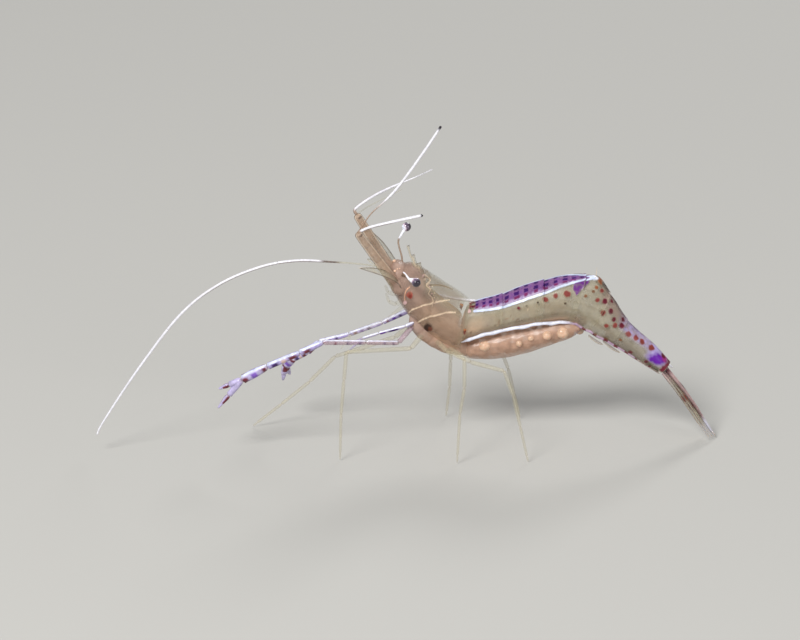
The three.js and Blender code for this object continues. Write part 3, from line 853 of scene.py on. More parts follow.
    def freckle(self, coat: Coat) -> None:
        """Scatters fine pale and orange grains over the brow."""
        dice = random.Random(self.freckle_seed)
        for _ in range(self.freckles):
            along = dice.uniform(3.5, 5.2)
            around = (18.0 + (5.2 - along) * 26.0 + dice.gauss(0.0, 6.0)) * dice.choice((-1, 1))
            colour = dice.choice((INK.cream, INK.pink, INK.outline, INK.outline, INK.cream))
            self.mark(coat, along, around, dice.uniform(0.018, 0.036), colour, 0.7)

    def build(self) -> None:
        """Builds every piece of the carapace."""
        self.organs()
        self.shell()


@dataclass
class HeadFlesh:
    """The soft parts outside the carapace: the brow between the eyestalks and the legs' bases."""

    brow: Sequence[tuple[Point, Point]] = (
        ((4.12, 0.3, -1.0), (0.62, 0.86, 0.46)),
        ((3.85, -0.45, -1.4), (0.5, 0.55, 0.5)),
    )
    beads: Sequence[tuple[Point, float]] = (
        ((4.66, 0.53, -0.79), 0.1), ((4.58, -0.27, -0.9), 0.08), ((4.52, -0.19, -0.75), 0.05),
        ((4.42, -0.14, -0.67), 0.04),
    )
    under: Sequence[Point] = (
        (2.15, 0.5, -2.2), (1.6, 0.64, -2.62), (0.95, 0.7, -2.78), (0.15, 0.72, -2.78), (-0.62, 0.68, -2.7),
        (-1.25, 0.56, -2.5), (-1.85, 0.46, -2.25), (-2.5, 0.4, -1.9),
    )
    girth: float = 0.47
    scallops: Sequence[float] = (0.14, 0.29, 0.44, 0.59, 0.74)

    def build(self) -> None:
        """Builds the brow, its beads and the legs' bases."""
        brow = Piece("brow_flesh")
        for centre, half in self.brow:
            self.lump(brow, centre, half)
        brow.place(FLESH, Slot.SHELL, [], (178, 148, 132), 0.7)
        beads = Piece("brow_beads")
        for centre, radius in self.beads:
            beads.ball(POSTURE.in_head(*centre), radius, finer=3)
        beads.place(FEELER_SHELL, Slot.SHELL, [], (232, 194, 166), 0.95)
        for side in Side:
            self.leg_bases(side)

    def leg_bases(self, side: Side) -> None:
        """Builds the row of merged leg bases below the thorax on one side.

        Args:
            side: The side.
        """
        route = Route([POSTURE.in_head(f, r * side.value, u) for f, r, u in self.under])
        shares = np.linspace(0, 1, 110)
        bulge = sum(bell(shares, middle, 0.055) for middle in self.scallops)
        ends = closed(shares, 4, 0.02)
        girth = self.girth * ends * (0.94 + 0.07 * bulge)
        piece = Piece(f"leg_bases_{side.letter}")
        piece.tube(route.frames(shares, girth, girth), 40, list(shares))
        piece.place(FLESH, Slot.LIMB, [], (184, 150, 128), 0.8, self.paint)

    @staticmethod
    def lump(piece: Piece, centre: Point, half: Point) -> None:
        """Adds an oval lump, turned with the head.

        Args:
            piece: The piece that it joins.
            centre: Its middle in the head's frame.
            half: Its half lengths forward, to the right and up.
        """
        turn = POSTURE.head.to_3x3().to_4x4()
        piece.ball(POSTURE.in_head(*centre), 1.0, finer=4, stretch=turn @ Matrix.Diagonal((*half, 1.0)))

    @staticmethod
    def paint(coat: Coat) -> None:
        """Greyer in front, tan behind, with soft darker seams between the legs."""
        coat.lay(fall(0.18, 0.36, coat.along), (170, 142, 128), 0.74)
        seam = sum(bell(coat.along, place, 0.012) for place in (0.22, 0.37, 0.52, 0.67))
        coat.lay(seam * 0.35, INK.brown, 0.8)


@dataclass
class Rostrum:
    """The thin toothed blade that grows from the carapace's keel."""

    start: float = 3.1
    length: float = 1.95
    thickness: float = 0.12
    rise: float = 0.7
    deep: float = 0.5
    keel: float = 0.1
    teeth: int = 3
    tooth: float = 0.24

    def ridge(self, share: Array) -> Array:
        """The height of the blade's upper edge, with its teeth."""
        phase = (share * self.teeth) % 1.0
        spike = np.where(phase < 0.82, phase / 0.82, (1 - phase) / 0.18) ** 1.6
        return self.rise * share**1.5 + self.tooth * (1 - 0.35 * share) * spike * (share < 0.97)

    def lower(self, share: Array) -> Array:
        """The height of the blade's lower edge."""
        near = -self.deep + (self.deep - self.keel) * np.minimum(share / 0.45, 1.0)
        return near + (self.rise - 0.05 + self.keel) * np.clip((share - 0.45) / 0.55, 0.0, 1.0)

    def build(self) -> None:
        """Builds the blade."""
        piece = Piece("rostrum_blade")

        def lay(u: Array, v: Array) -> Laid:
            low, high = self.lower(u), self.ridge(u)
            up = low + (high - low) * v
            forward = self.start + self.length * u + 0.12 * np.where(v > 0.6, (v - 0.6) / 0.4, 0) * (1 - u)
            local = np.stack([-forward, np.zeros_like(u), up, np.ones_like(u)], -1)
            return (local @ np.array(POSTURE.head).T)[:, :3], u, v

        piece.skin(280, 14, lay)
        piece.place(CUTICLE, Slot.SHELL, ["rostrum"], INK.clear, 0.24, self.paint, wall=self.thickness)

    def paint(self, coat: Coat) -> None:
        """A pale rib along the middle, and a dark upper edge along the teeth."""
        rib = bell(coat.around, 0.45, 0.12) * (1 - coat.along * 0.3)
        coat.lay(rib * 0.9, INK.cream, 0.8)
        coat.lay(ease(0.86, 0.98, coat.around) * 0.8, INK.outline, 0.6)


@dataclass
class Abdomen:
    """Six overlapping plates over clear muscle, banded in purple between white stripes."""

    hinges: Sequence[float] = (0.0, 2.0, 4.0, 6.0, 8.0, 10.0, 13.0)
    columns: int = 170
    rows_each_section: int = 34
    wall: float = 0.045
    tuck: float = 0.16
    lap: float = 0.22
    grains: int = 60
    grain_seed: int = 23
    margin: Sequence[Pair] = (
        (0.0, 118.0), (1.0, 124.0), (2.1, 129.0), (3.9, 131.0), (4.8, 141.0), (6.0, 146.0), (7.0, 147.0),
        (8.0, 146.0), (10.0, 141.0),
    )
    stripe: Sequence[Pair] = (
        (0.45, 26.0), (0.85, 29.0), (1.6, 34.0), (2.3, 37.0), (3.2, 37.0), (4.2, 34.0), (5.3, 23.0),
        (6.1, 11.0), (6.8, 2.0),
    )
    square_pairs: Sequence[float] = (0.62, 1.05, 1.5, 1.95, 2.45, 2.95, 3.4, 3.85, 4.3, 4.75, 5.2, 5.6, 6.0)
    spots: Sequence[tuple[float, float, float, Colour]] = (
        (0.10, 6, 0.12, INK.rust), (0.38, -12, 0.13, INK.maroon), (0.1, -14, 0.1, INK.maroon),
        (0.0, 22, 0.15, INK.pink),
        (3.03, -56, 0.10, INK.maroon), (4.30, -53, 0.17, INK.rust), (4.80, -49, 0.15, INK.rust),
        (5.35, -49, 0.20, INK.rust), (7.43, -52, 0.14, INK.rust), (7.93, -38, 0.17, INK.maroon),
        (8.25, -62, 0.18, INK.rust), (8.75, -41, 0.16, INK.maroon), (9.28, -50, 0.15, INK.maroon),
        (9.05, -80, 0.14, INK.rust), (7.18, -8, 0.17, (150, 84, 50)), (7.03, -30, 0.12, (150, 84, 50)),
        (7.45, -26, 0.15, INK.rust), (3.93, -55, 0.07, INK.umber), (3.40, -56, 0.06, INK.umber),
        (5.35, -71, 0.07, INK.umber), (6.50, -56, 0.1, INK.brown), (6.93, -42, 0.09, INK.brown),
        (10.62, -49, 0.18, INK.rust), (11.03, -40, 0.18, INK.rust), (11.38, -37, 0.18, INK.rust),
        (11.88, -29, 0.2, INK.rust), (12.5, -12, 0.16, INK.maroon), (11.33, -112, 0.15, INK.maroon),
        (12.12, -106, 0.14, INK.maroon), (12.38, -124, 0.12, INK.maroon), (10.48, -88, 0.1, INK.brown),
        (9.78, -120, 0.12, INK.brown), (8.9, -130, 0.1, INK.brown), (9.6, -60, 0.16, INK.rust),
        (10.0, -42, 0.18, INK.maroon), (9.9, -20, 0.16, INK.maroon), (8.5, -14, 0.12, INK.maroon),
    )

    def half_stripe(self, along: Array) -> Array:
        """The angle of the white stripe from the middle of the back."""
        stops = np.array(self.stripe)
        return np.interp(along, stops[:, 0], stops[:, 1])

    def edge(self, along: Array) -> Array:
        """The angle of the plates' lower margin."""
        stops = np.array(self.margin)
        return np.interp(along, stops[:, 0], stops[:, 1])

    def plate(self, number: int) -> None:
        """Builds one somite's plate.

        Args:
            number: The somite, from 1.
        """
        start, end = self.hinges[number - 1], self.hinges[number]
        first, final = max(start - self.tuck, 0.0), min(end + self.lap, TRUNK_FORM.last)
        span = final - first
        tail_tube = number == 6

        def lay(u: Array, v: Array) -> Laid:
            along = first + u * span
            lobe = 8.0 * np.sin(np.pi * np.clip(u, 0, 1)) ** 0.6 - 7.0
            reach = np.full_like(along, 180.0) if tail_tube else self.edge(along) + lobe
            around = (2 * v - 1) * reach
            share = (along - start) / (end - start)
            flare = 0.945 + 0.075 * np.sin(np.clip(share * 1.6, 0, 1) * np.pi / 2)
            lip = 0.012 * ease(0.93, 1.0, u)
            ridge = 0.055 * bell(np.abs(around) - self.edge(along) + 10.0, 0, 5.0) * (not tail_tube)
            return TRUNK_FORM.surface(along, around, flare + lip + ridge * (along < 9.6)), along, around

        piece = Piece(f"abdomen_plate_{number}")
        piece.skin(round(span * self.rows_each_section), self.columns, lay)
        piece.place(CUTICLE, Slot.ABDOMEN, [f"abdomen_{number}"], INK.clear, 0.1,
                    lambda coat: self.paint(coat, final), wall=self.wall)

    def muscle(self) -> None:
        """Builds the clear muscle inside the plates, which closes the body below."""
        piece = Piece("abdomen_muscle")
        last = TRUNK_FORM.last

        def lay(u: Array, v: Array) -> Laid:
            along = -0.5 + u * (last + 0.4)
            around = (2 * v - 1) * 180.0
            ends = closed(u, 24, 0)
            bands = 0.006 * np.sin(along * np.pi * 2.0 + np.abs(around) / 40.0)
            return TRUNK_FORM.surface(along, around, ends * (0.9 + bands)), along, around

        piece.skin(240, 64, lay)
        piece.place(FLESH, Slot.ABDOMEN, [], (178, 167, 144), 0.54, self.paint_muscle)

    def paint_muscle(self, coat: Coat) -> None:
        """Tan in front and below, the tan below being painted light over the strip where the plates' margin
        casts its shadow, with brown grains, and pinkish towards the tail.
        """
        turn = np.abs(coat.around)
        front = fall(0.0, 2.4, coat.along)
        coat.lay(front * ease(36, 84, turn), (206, 170, 142), 0.74)
        # Painted light: light tan along the lower flanks of the front somites, over the strip where the
        # plates' margin casts its shadow on the eggs.
        low = ease(108, 128, turn) * fall(5.2, 6.4, coat.along)
        coat.lay(low, (212, 172, 144), 0.85)
        coat.lay(ease(8.5, 10.5, coat.along) * 0.85, (142, 130, 120), 0.58)
        dice = random.Random(self.grain_seed)
        for _ in range(self.grains):
            along = 0.3 + 3.6 * dice.random() ** 1.4
            around = dice.uniform(58, 104) * dice.choice((-1, 1))
            centre = TRUNK_FORM.surface(np.array([along]), np.array([around]), 0.9)[0]
            coat.spot(centre, dice.uniform(0.03, 0.075), dice.choice((INK.brown, (150, 110, 84), INK.cream)),
                      0.7)

    def gut(self) -> None:
        """Builds the gut, a thin brown line seen through the muscle."""
        piece = Piece("abdomen_gut")
        alongs = np.linspace(0.6, 12.4, 150)
        middles = TRUNK_FORM.surface(alongs, np.zeros_like(alongs), 0.45)
        route = Route([Vector(p) for p in middles[::6]])
        shares = np.linspace(0, 1, 110)
        girth = 0.09 + 0.02 * np.sin(shares * 70)
        piece.tube(route.frames(shares, girth, girth), 10, list(shares * 12.0))
        piece.place(FLESH, Slot.ABDOMEN, [], INK.brown, 0.2)

    def paint(self, coat: Coat, final: float) -> None:
        """Paints a plate's band, stripes and spots.

        Args:
            coat: The paint.
            final: The place of the plate's rear edge.
        """
        along, around = coat.along, coat.around
        turn = np.abs(around)
        half = self.half_stripe(along)
        band = fall(0.88, 1.0, turn / np.maximum(half, 0.5)) * ease(0.4, 0.6, along) * fall(6.5, 6.8, along)
        coat.lay(band, (138, 92, 148), 0.64)
        pale = band * ease(0.62, 0.9, turn / np.maximum(half, 0.5) + coat.grain * 0.2)
        coat.lay(pale, (204, 186, 214), 0.6)
        coat.lay(band * ease(0.1, 0.5, coat.grain) * 0.5, (108, 60, 150), 0.75)
        self.tail_wash(coat)
        for pair in self.square_pairs:
            self.squares(coat, pair)
        self.hump(coat)
        for t, angle, radius, colour in self.spots:
            for side in (1, -1):
                self.mark(coat, t, angle * side, radius, colour)
        for side in (-1, 1):
            self.stripe_line(coat, side)
        rear = ease(final - 0.06, final - 0.02, along) * ease(1.05, 1.4, turn / np.maximum(half, 4.0))
        coat.lay(rear * 0.4, INK.clear, 0.24)

    def tail_wash(self, coat: Coat) -> None:
        """Tints the tail lilac along the back and rosy along the belly."""
        along, turn = coat.along, np.abs(coat.around)
        coat.lay(ease(6.9, 8.2, along) * fall(30, 60, turn) * 0.5, INK.pink, 0.28)
        back = ease(9.2, 10.6, along) * fall(40, 72, turn)
        coat.lay(back * (0.7 + 0.5 * coat.grain), INK.lilac, 0.5)
        flank = coat.around * (1.0 - 0.06 * along)
        ridge = ease(6.9, 7.4, along) * ease(6, 12, flank) * fall(30, 36, flank) * fall(10.6, 11.4, along)
        coat.lay(ridge * (1.1 + 0.5 * coat.grain), (58, 24, 56), 0.92)
        belly = ease(7.6, 8.6, along) * ease(118, 140, turn)
        coat.lay(belly * 0.7, INK.pink, 0.5)
        patch = bell(along, 12.25, 0.42, 4) * fall(70, 105, turn)
        coat.lay(patch * 0.95, INK.lilac, 0.8)
        core = bell(along + 0.004 * (turn - 55), 12.38, 0.3) * bell(turn, 55, 34.0, 4)
        coat.lay(core * 1.5 + coat.grain * 0.4 * (core > 0.2), (96, 30, 150), 0.95)
        blush = bell(along, 12.62, 0.14) * fall(30, 50, turn)
        coat.lay(blush, (170, 60, 130), 0.9)
        end = ease(12.66, 12.82, along + coat.grain * 0.08) * fall(95, 120, turn)
        coat.lay(end, INK.maroon, 0.88)
        keel = ease(12.0, 12.3, along) * ease(14, 20, coat.around)
        coat.lay(keel, INK.ink, 0.85)

    def squares(self, coat: Coat, pair: float) -> None:
        """Paints one pair of dark squares across the band, the lower one redder.

        Args:
            coat: The paint.
            pair: The pair's place along the body.
        """
        half = float(self.half_stripe(np.array([pair]))[0])
        length = 0.105 * (1 + 0.18 * math.sin(pair * 9.0))
        for side in (-1, 1):
            for middle, deep, colour in ((0.3, 0.17, (58, 24, 92)), (0.68, 0.12, (112, 40, 88))):
                inside = fall(0.75, 1.2, np.abs(coat.along - pair) / length + coat.grain * 0.35)
                reach = np.abs(coat.around - side * half * middle) / (half * deep)
                mask = inside * fall(0.75, 1.25, reach + coat.grain * 0.3)
                coat.lay(mask * 1.3, colour, 0.95)

    def hump(self, coat: Coat) -> None:
        """Paints the purple wedge below the hump and the pale blob on top of it."""
        along, turn = coat.along, np.abs(coat.around)
        share = (along - 5.55) / 0.95
        low = 20 + 36 * np.clip(1 - np.abs(share - 0.35) / 0.65, 0, 1)
        high = self.half_stripe(along) + 3
        wedge = (ease(0.0, 0.12, share) * fall(0.9, 1.05, share) * ease(0, 5, turn - high)
                 * fall(-5, 3, turn - low))
        coat.lay(wedge * (0.95 + 0.3 * coat.grain), (102, 42, 124), 0.92)
        crown = TRUNK_FORM.surface(np.array([6.72]), np.array([0.0]))[0]
        coat.spot(crown, 0.24, INK.white, 0.95)

    def stripe_line(self, coat: Coat, side: int) -> None:
        """Paints the white stripe that edges the band on one side."""
        alongs = np.linspace(0.5, 6.75, 220)
        lift = 1.0 if side < 0 else 0.6
        route = TRUNK_FORM.surface(alongs, side * lift * (self.half_stripe(alongs) + 2.5), 1.0)
        coat.line(route, 0.075 if side < 0 else 0.1, (206, 216, 240), 0.93)

    def margin_rib(self, side: Side) -> None:
        """Builds the raised white rib along the plates' lower margin on one side.

        Args:
            side: The side.
        """
        alongs = np.linspace(0.12, 11.9, 320)
        sway = 1.7 * np.sin(alongs * 4.3) + 1.1 * np.sin(alongs * 7.9 + 1.0)
        places = TRUNK_FORM.surface(alongs, side.value * (self.edge(alongs) - 10.0 + sway), 1.035)
        shares = np.linspace(0, 1, 300)
        fade = (ease(0.0, 0.05, shares) * (1 - 0.5 * ease(0.53, 0.64, shares))
                * (1 - 0.8 * ease(0.8, 0.98, shares)))
        girth = 0.03 + 0.074 * fade * (1 + 0.22 * np.sin(shares * 61.0) * np.sin(shares * 23.0))
        piece = Piece(f"margin_rib_{side.letter}")
        piece.tube(Route([Vector(p) for p in places[::4]]).frames(shares, girth, girth), 12, list(shares))
        piece.place(FEELER_SHELL, Slot.ABDOMEN, [], INK.white, 0.97, self.paint_rib)

    @staticmethod
    def paint_rib(coat: Coat) -> None:
        """White, lilac with dark dashes where it runs on below the tail."""
        coat.lay(ease(0.54, 0.62, coat.along), (186, 158, 184), 0.8)
        dashes = ease(0.2, 0.6, np.sin(coat.along * 96.0)) * ease(0.6, 0.66, coat.along)
        coat.lay(dashes, INK.maroon, 0.85)

    @staticmethod
    def mark(coat: Coat, along: float, around: float, radius: float, colour: Colour) -> None:
        """Paints a spot, where the mesh reaches it."""
        if coat.along.min() - 0.4 < along < coat.along.max() + 0.4:
            centre = TRUNK_FORM.surface(np.array([along]), np.array([around]), 1.0)[0]
            coat.spot(centre, radius, colour, 0.9)

    def crest_hair(self) -> None:
        """Builds the single bristle on the hump."""
        piece = Piece("hump_bristle")
        root = Vector(TRUNK_FORM.surface(np.array([6.85]), np.array([0.0]), 0.98)[0])
        piece.hair(root, root + Vector((0.06, 0.0, 0.62)), 0.022)
        piece.place(FEELER_SHELL, Slot.ABDOMEN, [], INK.cream, 0.7)

    def build(self) -> None:
        """Builds the muscle, the gut and all six plates."""
        self.muscle()
        self.gut()
        for number in range(1, 7):
            self.plate(number)
        for side in Side:
            self.margin_rib(side)
        self.crest_hair()


@dataclass
class EggMass:
    """The eggs glued under the somites: a soft bed with round eggs half sunk in it."""

    egg_radius: Pair = (0.19, 0.3)
    seed: int = 7
    tries: int = 2600
    pale: Sequence[tuple[Point, float]] = (
        ((4.71, -0.19, 5.67), 0.32), ((8.16, -0.34, 6.36), 0.28), ((9.04, -0.24, 6.49), 0.35),
        ((6.61, -0.38, 5.9), 0.2), ((7.28, -0.39, 6.21), 0.17),
    )

    def bed(self) -> None:
        """Builds the soft bed."""
        piece = Piece("egg_bed")

        def lay(u: Array, v: Array) -> Laid:
            along = u * EGG_FORM.last
            around = (2 * v - 1) * 180.0
            ends = closed(u, 10, 0)
            swell = 0.01 * np.sin(along * 9.0 + np.sin(around / 14.0) * 2.0) * np.cos(around / 9.0)
            flank = 0.09 * bell(np.abs(around), 62.0, 26.0)
            return EGG_FORM.surface(along, around, ends * (0.97 + swell + flank)), along, around

        piece.skin(110, 90, lay)
        piece.place(EGG_BED, Slot.EGG, [], (200, 162, 138), 0.58, self.paint_bed)

    @staticmethod
    def paint_bed(coat: Coat) -> None:
        """Tan, with a lilac flap behind."""
        coat.lay(ease(4.9, 5.6, coat.along) * 0.85, (178, 152, 172), 0.34)

    def eggs(self) -> None:
        """Builds the eggs, packed over the bed below the plates."""
        piece = Piece("eggs")
        dice = random.Random(self.seed)
        laid = [(Vector(centre), radius) for centre, radius in self.pale]
        for _ in range(self.tries):
            along = np.array([dice.uniform(0.25, 5.8)])
            around = np.array([dice.uniform(55.0, 305.0)])
            radius = dice.uniform(*self.egg_radius)
            depth = dice.uniform(0.5, 0.72)
            centre = Vector(EGG_FORM.surface(along, around, depth)[0])
            if all((centre - other).length > 0.9 * (radius + size) for other, size in laid):
                laid.append((centre, radius))
        for k, (centre, radius) in enumerate(laid):
            stretch = Matrix.Rotation(k * 1.7, 4, "Z") @ Matrix.Diagonal((1.08, 0.94, 0.96, 1.0))
            kind = 9.0 if k < len(self.pale) else float(k % 7)
            piece.ball(centre, radius, along=kind, finer=3, stretch=stretch)
        piece.place(EGG_SKIN, Slot.EGG, ["egg_mass"], (196, 156, 130), 0.6, self.paint)

    @staticmethod
    def paint(coat: Coat) -> None:
        """Makes some eggs paler and more opaque than others."""
        for kind, colour, opacity in ((9, (218, 182, 154), 0.85), (3, (206, 168, 140), 0.7),
                                      (5, (186, 142, 112), 0.7)):
            coat.lay((coat.along == kind) * 1.0, colour, opacity)

    def build(self) -> None:
        """Builds the bed and the eggs."""
        self.bed()
        self.eggs()


@dataclass
class Eye:
    """One eye: a dark glossy globe with a pale cap, on a slender stalk with a white stripe."""

    side: Side
    radius: float = 0.255
    stalk_radius: float = 0.075
    stalk_root: Point = (4.15, 0.5, -0.75)
    gazes: dict[Side, Point] = sided((-0.4, -0.85, 0.1), (-0.66, 0.35, 0.56))
    bends: dict[Side, Sequence[Point]] = sided(
        ((4.46, -1.0, -0.36), (4.27, -1.62, -0.2)),
        ((4.34, 0.9, -0.49), (4.78, 1.6, -0.2), (4.76, 2.05, 0.08)),
    )

    def build(self) -> None:
        """Builds the globe and its stalk."""
        hand = self.side.value
        forward, right, up = EYE_CENTRES[self.side]
        centre = POSTURE.in_head(forward, right, up)
        root = POSTURE.in_head(self.stalk_root[0], hand * self.stalk_root[1], self.stalk_root[2])
        outward = (centre - POSTURE.in_head(*self.bends[self.side][-1])).normalized()
        ahead, aside, above = self.gazes[self.side]
        gaze = (POSTURE.in_head(ahead, aside, above) - POSTURE.in_head(0, 0, 0)).normalized()
        self.globe(centre, gaze)
        self.stalk(root, centre, outward)

    def globe(self, centre: Vector, outward: Vector) -> None:
        """Builds the globe.

        Args:
            centre: Its middle.
            outward: The direction that it looks in.
        """
        piece = Piece(f"eye_globe_{self.side.letter}")
        turn = outward.to_track_quat("Z", "Y").to_matrix().to_4x4()
        matrix = Matrix.Translation(centre) @ turn @ Matrix.Diagonal((1.0, 1.0, 1.04, 1.0))
        made = bmesh.ops.create_uvsphere(piece.mesh, u_segments=48, v_segments=32, radius=self.radius,
                                         matrix=matrix)["verts"]
        for vert in made:
            vert[piece.along] = (vert.co - centre).dot(outward) / self.radius
        piece.place(CORNEA, Slot.EYE, [f"eye_{self.side.letter}"], INK.grape, 1.0, self.paint)

    @staticmethod
    def paint(coat: Coat) -> None:
        """A dark pupil outwards, a grape ring and a pale speckled cap at the stalk."""
        coat.lay(ease(0.05, 0.6, coat.along) * 0.92, INK.ink, 1.0)
        coat.lay(fall(-0.45, -0.05, coat.along + coat.grain * 0.6), (214, 190, 204), 1.0)
        coat.lay(fall(-0.8, -0.45, coat.along + coat.grain * 0.4), INK.white, 1.0)

    def stalk(self, root: Vector, centre: Vector, outward: Vector) -> None:
        """Builds the stalk.

        Args:
            root: Where it leaves the head.
            centre: The eye's middle.
            outward: The direction from the root to the eye.
        """
        piece = Piece(f"eye_stalk_{self.side.letter}")
        lift = POSTURE.in_head(0, 0, 1) - POSTURE.in_head(0, 0, 0)
        bends = [POSTURE.in_head(*bend) for bend in self.bends[self.side]]
        route = Route([root, *bends, centre - outward * self.radius * 0.62], lift)
        shares = np.linspace(0, 1, 48)
        flare = 0.09 if self.side is Side.LEFT else 0.03
        slim = 1.0 if self.side is Side.LEFT else 0.72
        girth = (slim * self.stalk_radius * (1.15 - 0.25 * np.sin(shares * math.pi))
                 + flare * ease(0.72, 1.0, shares))
        piece.tube(route.frames(shares, girth, girth), 20, list(shares))
        piece.place(FEELER_SHELL, Slot.LIMB, [f"eyestalk_{self.side.letter}"], (150, 122, 98), 0.6,
                    self.paint_stalk)

    def paint_stalk(self, coat: Coat) -> None:
        """A bright white stripe along the stalk, widest at the eye, and shorter on the right."""
        start = 0.2 if self.side is Side.LEFT else 0.66
        reach = np.abs(coat.around) / (100 + 60 * ease(0.6, 1.0, coat.along))
        stripe = fall(0.8, 1.15, reach + coat.grain * 0.2) * ease(start, start + 0.08, coat.along)
        coat.lay(stripe, (240, 240, 248), 0.98)


class Band(Enum):
    """How a limb's segment is coloured."""

    CLEAR = "clear"
    STRIPED = "striped"


@dataclass(frozen=True)
class Segment:
    """One segment of a limb, from one joint to the next."""

    start: Vector
    end: Vector
    root: float
    tip: float
    swell: float = 0.0
    colours: Band = Band.CLEAR
    bands: Sequence[tuple[float, float, Colour]] = ()


@dataclass
class Limb:
    """A jointed limb: tubes that narrow at each joint and swell beyond it."""

    name: str
    node: Sequence[str]
    segments: Sequence[Segment]
    slot: Slot = Slot.LIMB
    finish: Finish = LIMB_SHELL
    ground: Colour = INK.clear
    opacity: float = 0.34
    sides: int = 18
    rings_each_mm: float = 9.0
    band_from: float = -20.0
    stripe: Colour = INK.white
    stripe_turn: float = 14.0
    stripe_half: float = 26.0
    level: Vector = field(default_factory=lambda: Vector((0.0, -0.35, 1.0)))

    def build(self) -> None:
        """Builds the limb's segments as one piece."""
        piece = Piece(self.name)
        for number, segment in enumerate(self.segments):
            reach = (segment.end - segment.start).length
            count = max(14, round(reach * self.rings_each_mm))
            shares = np.linspace(0, 1, count)
            taper = segment.root + (segment.tip - segment.root) * shares
            girth = taper * (1 + segment.swell * np.sin(shares * math.pi))
            knob = 0.1 * bell((1 - shares) * reach, 0.1, 0.08)
            neck = 1 - 0.22 * bell(shares * reach, 0, 0.09) + knob
            round_end = np.sqrt(np.clip(1 - (np.clip(0.06 - (1 - shares) * reach, 0, 0.06) / 0.062) ** 2,
                                        0.05, 1))
            girth = girth * neck * round_end
            route = Route([segment.start, segment.start.lerp(segment.end, 0.5), segment.end], self.level)
            piece.tube(route.frames(shares, girth, girth), self.sides, list(number + shares * 0.999))
        piece.place(self.finish, self.slot, self.node, self.ground, self.opacity, self.paint)

    def paint(self, coat: Coat) -> None:
        """Paints each segment's stripe and bands."""
        number = np.floor(coat.along + 1e-6).astype(int)
        share = coat.along - number
        for k, segment in enumerate(self.segments):
            here = (number == k) * 1.0
            joint = bell(share, 0, 0.03) + bell(1, share, 0.03)
            coat.lay(here * joint * 0.3, INK.cream, min(self.opacity + 0.1, 1.0))
            for start, end, colour in segment.bands:
                edge = coat.grain * 0.03
                band = (ease(start - 0.02, start + 0.02, share + edge)
                        * fall(end - 0.02, end + 0.02, share + edge))
                below = ease(self.band_from - 10, self.band_from + 10, np.abs(coat.around + self.stripe_turn))
                coat.lay(here * band * below, colour, 0.95)
            if segment.colours is Band.STRIPED:
                stripe = fall(0.8, 1.15,
                              np.abs(coat.around + self.stripe_turn) / self.stripe_half + coat.grain * 0.2)
                coat.lay(here * stripe, self.stripe, 0.95)


def chain(joints: Sequence[Vector], radii: Sequence[float], swell: float) -> list[Segment]:
    """Clear segments from joint to joint, each with the radii at its two ends."""
    return [Segment(a, b, p, q, swell) for a, b, p, q in zip(joints, joints[1:], radii, radii[1:])]


@dataclass
class WalkingLegs:
    """The three pairs of thin clear legs that the animal stands on."""

    coxa_right: float = 0.78
    coxa_up: float = -2.75
    coxa_forward: dict[int, float] = field(default_factory=lambda: {3: 0.9, 4: 0.1, 5: -0.65})
    joints: dict[str, Sequence[Point]] = field(default_factory=lambda: {
        "3_l": ((0.6, -1.7, 6.1), (-2.95, -3.0, 6.37), (-3.1, -3.1, 4.7), (-3.26, -3.1, 2.75),
                (-3.33, -3.1, 0.0)),
        "3_r": ((-0.3, 1.6, 5.55), (-3.65, 2.3, 4.14), (-5.1, 2.3, 2.62), (-6.7, 2.2, 1.3), (-8.3, 2.1, 0.0)),
        "4_l": ((2.6, -1.8, 5.95), (3.55, -3.3, 6.05), (3.55, -3.5, 4.4), (3.3, -3.55, 2.9),
                (3.16, -3.6, 0.0)),
        "4_r": ((2.45, 2.2, 5.5), (2.87, 3.3, 5.0), (2.85, 3.5, 3.4), (2.8, 3.6, 1.8), (2.6, 3.6, 0.0)),
        "5_l": ((3.9, -1.7, 5.3), (5.75, -3.0, 5.25), (6.25, -3.3, 3.9), (6.65, -3.4, 2.1), (7.1, -3.4, 0.0)),
        "5_r": ((3.9, 2.2, 5.0), (5.6, 3.2, 4.4), (6.1, 3.4, 3.0), (6.45, 3.4, 1.5), (6.8, 3.4, 0.0)),
    })
    root_radius: float = 0.17
    foot_radius: float = 0.06

    def build(self) -> None:
        """Builds the six legs, each in two pieces."""
        for number, forward in self.coxa_forward.items():
            for side in Side:
                self.leg(number, side, forward)

    def leg(self, number: int, side: Side, forward: float) -> None:
        """Builds one leg.

        Args:
            number: The pair, counted from the front.
            side: The side.
            forward: How far forward on the thorax it springs.
        """
        key = f"{number}_{side.letter}"
        root = POSTURE.in_head(forward, side.value * self.coxa_right, self.coxa_up)
        joints = [root, *vectors(self.joints[key])]
        foot = joints[-1] + Vector((0.0, 0.0, self.foot_radius * 0.5))
        joints[-1] = foot
        radii = [self.root_radius, 0.13, 0.11, 0.1, 0.085, self.foot_radius]
        pairs = chain(joints, radii, 0.06)
        Limb(f"leg_{key}_thigh", [f"leg_{key}_upper"], pairs[:2], opacity=0.26).build()
        toe = joints[-2].lerp(foot, 0.86)
        shin = pairs[2:4] + [
            Segment(joints[-2], toe, radii[-2], 0.07, 0.04),
            Segment(toe, foot, 0.06, 0.018, 0.2),
        ]
        Limb(f"leg_{key}_shin", [f"leg_{key}_lower"], shin, opacity=0.26).build()


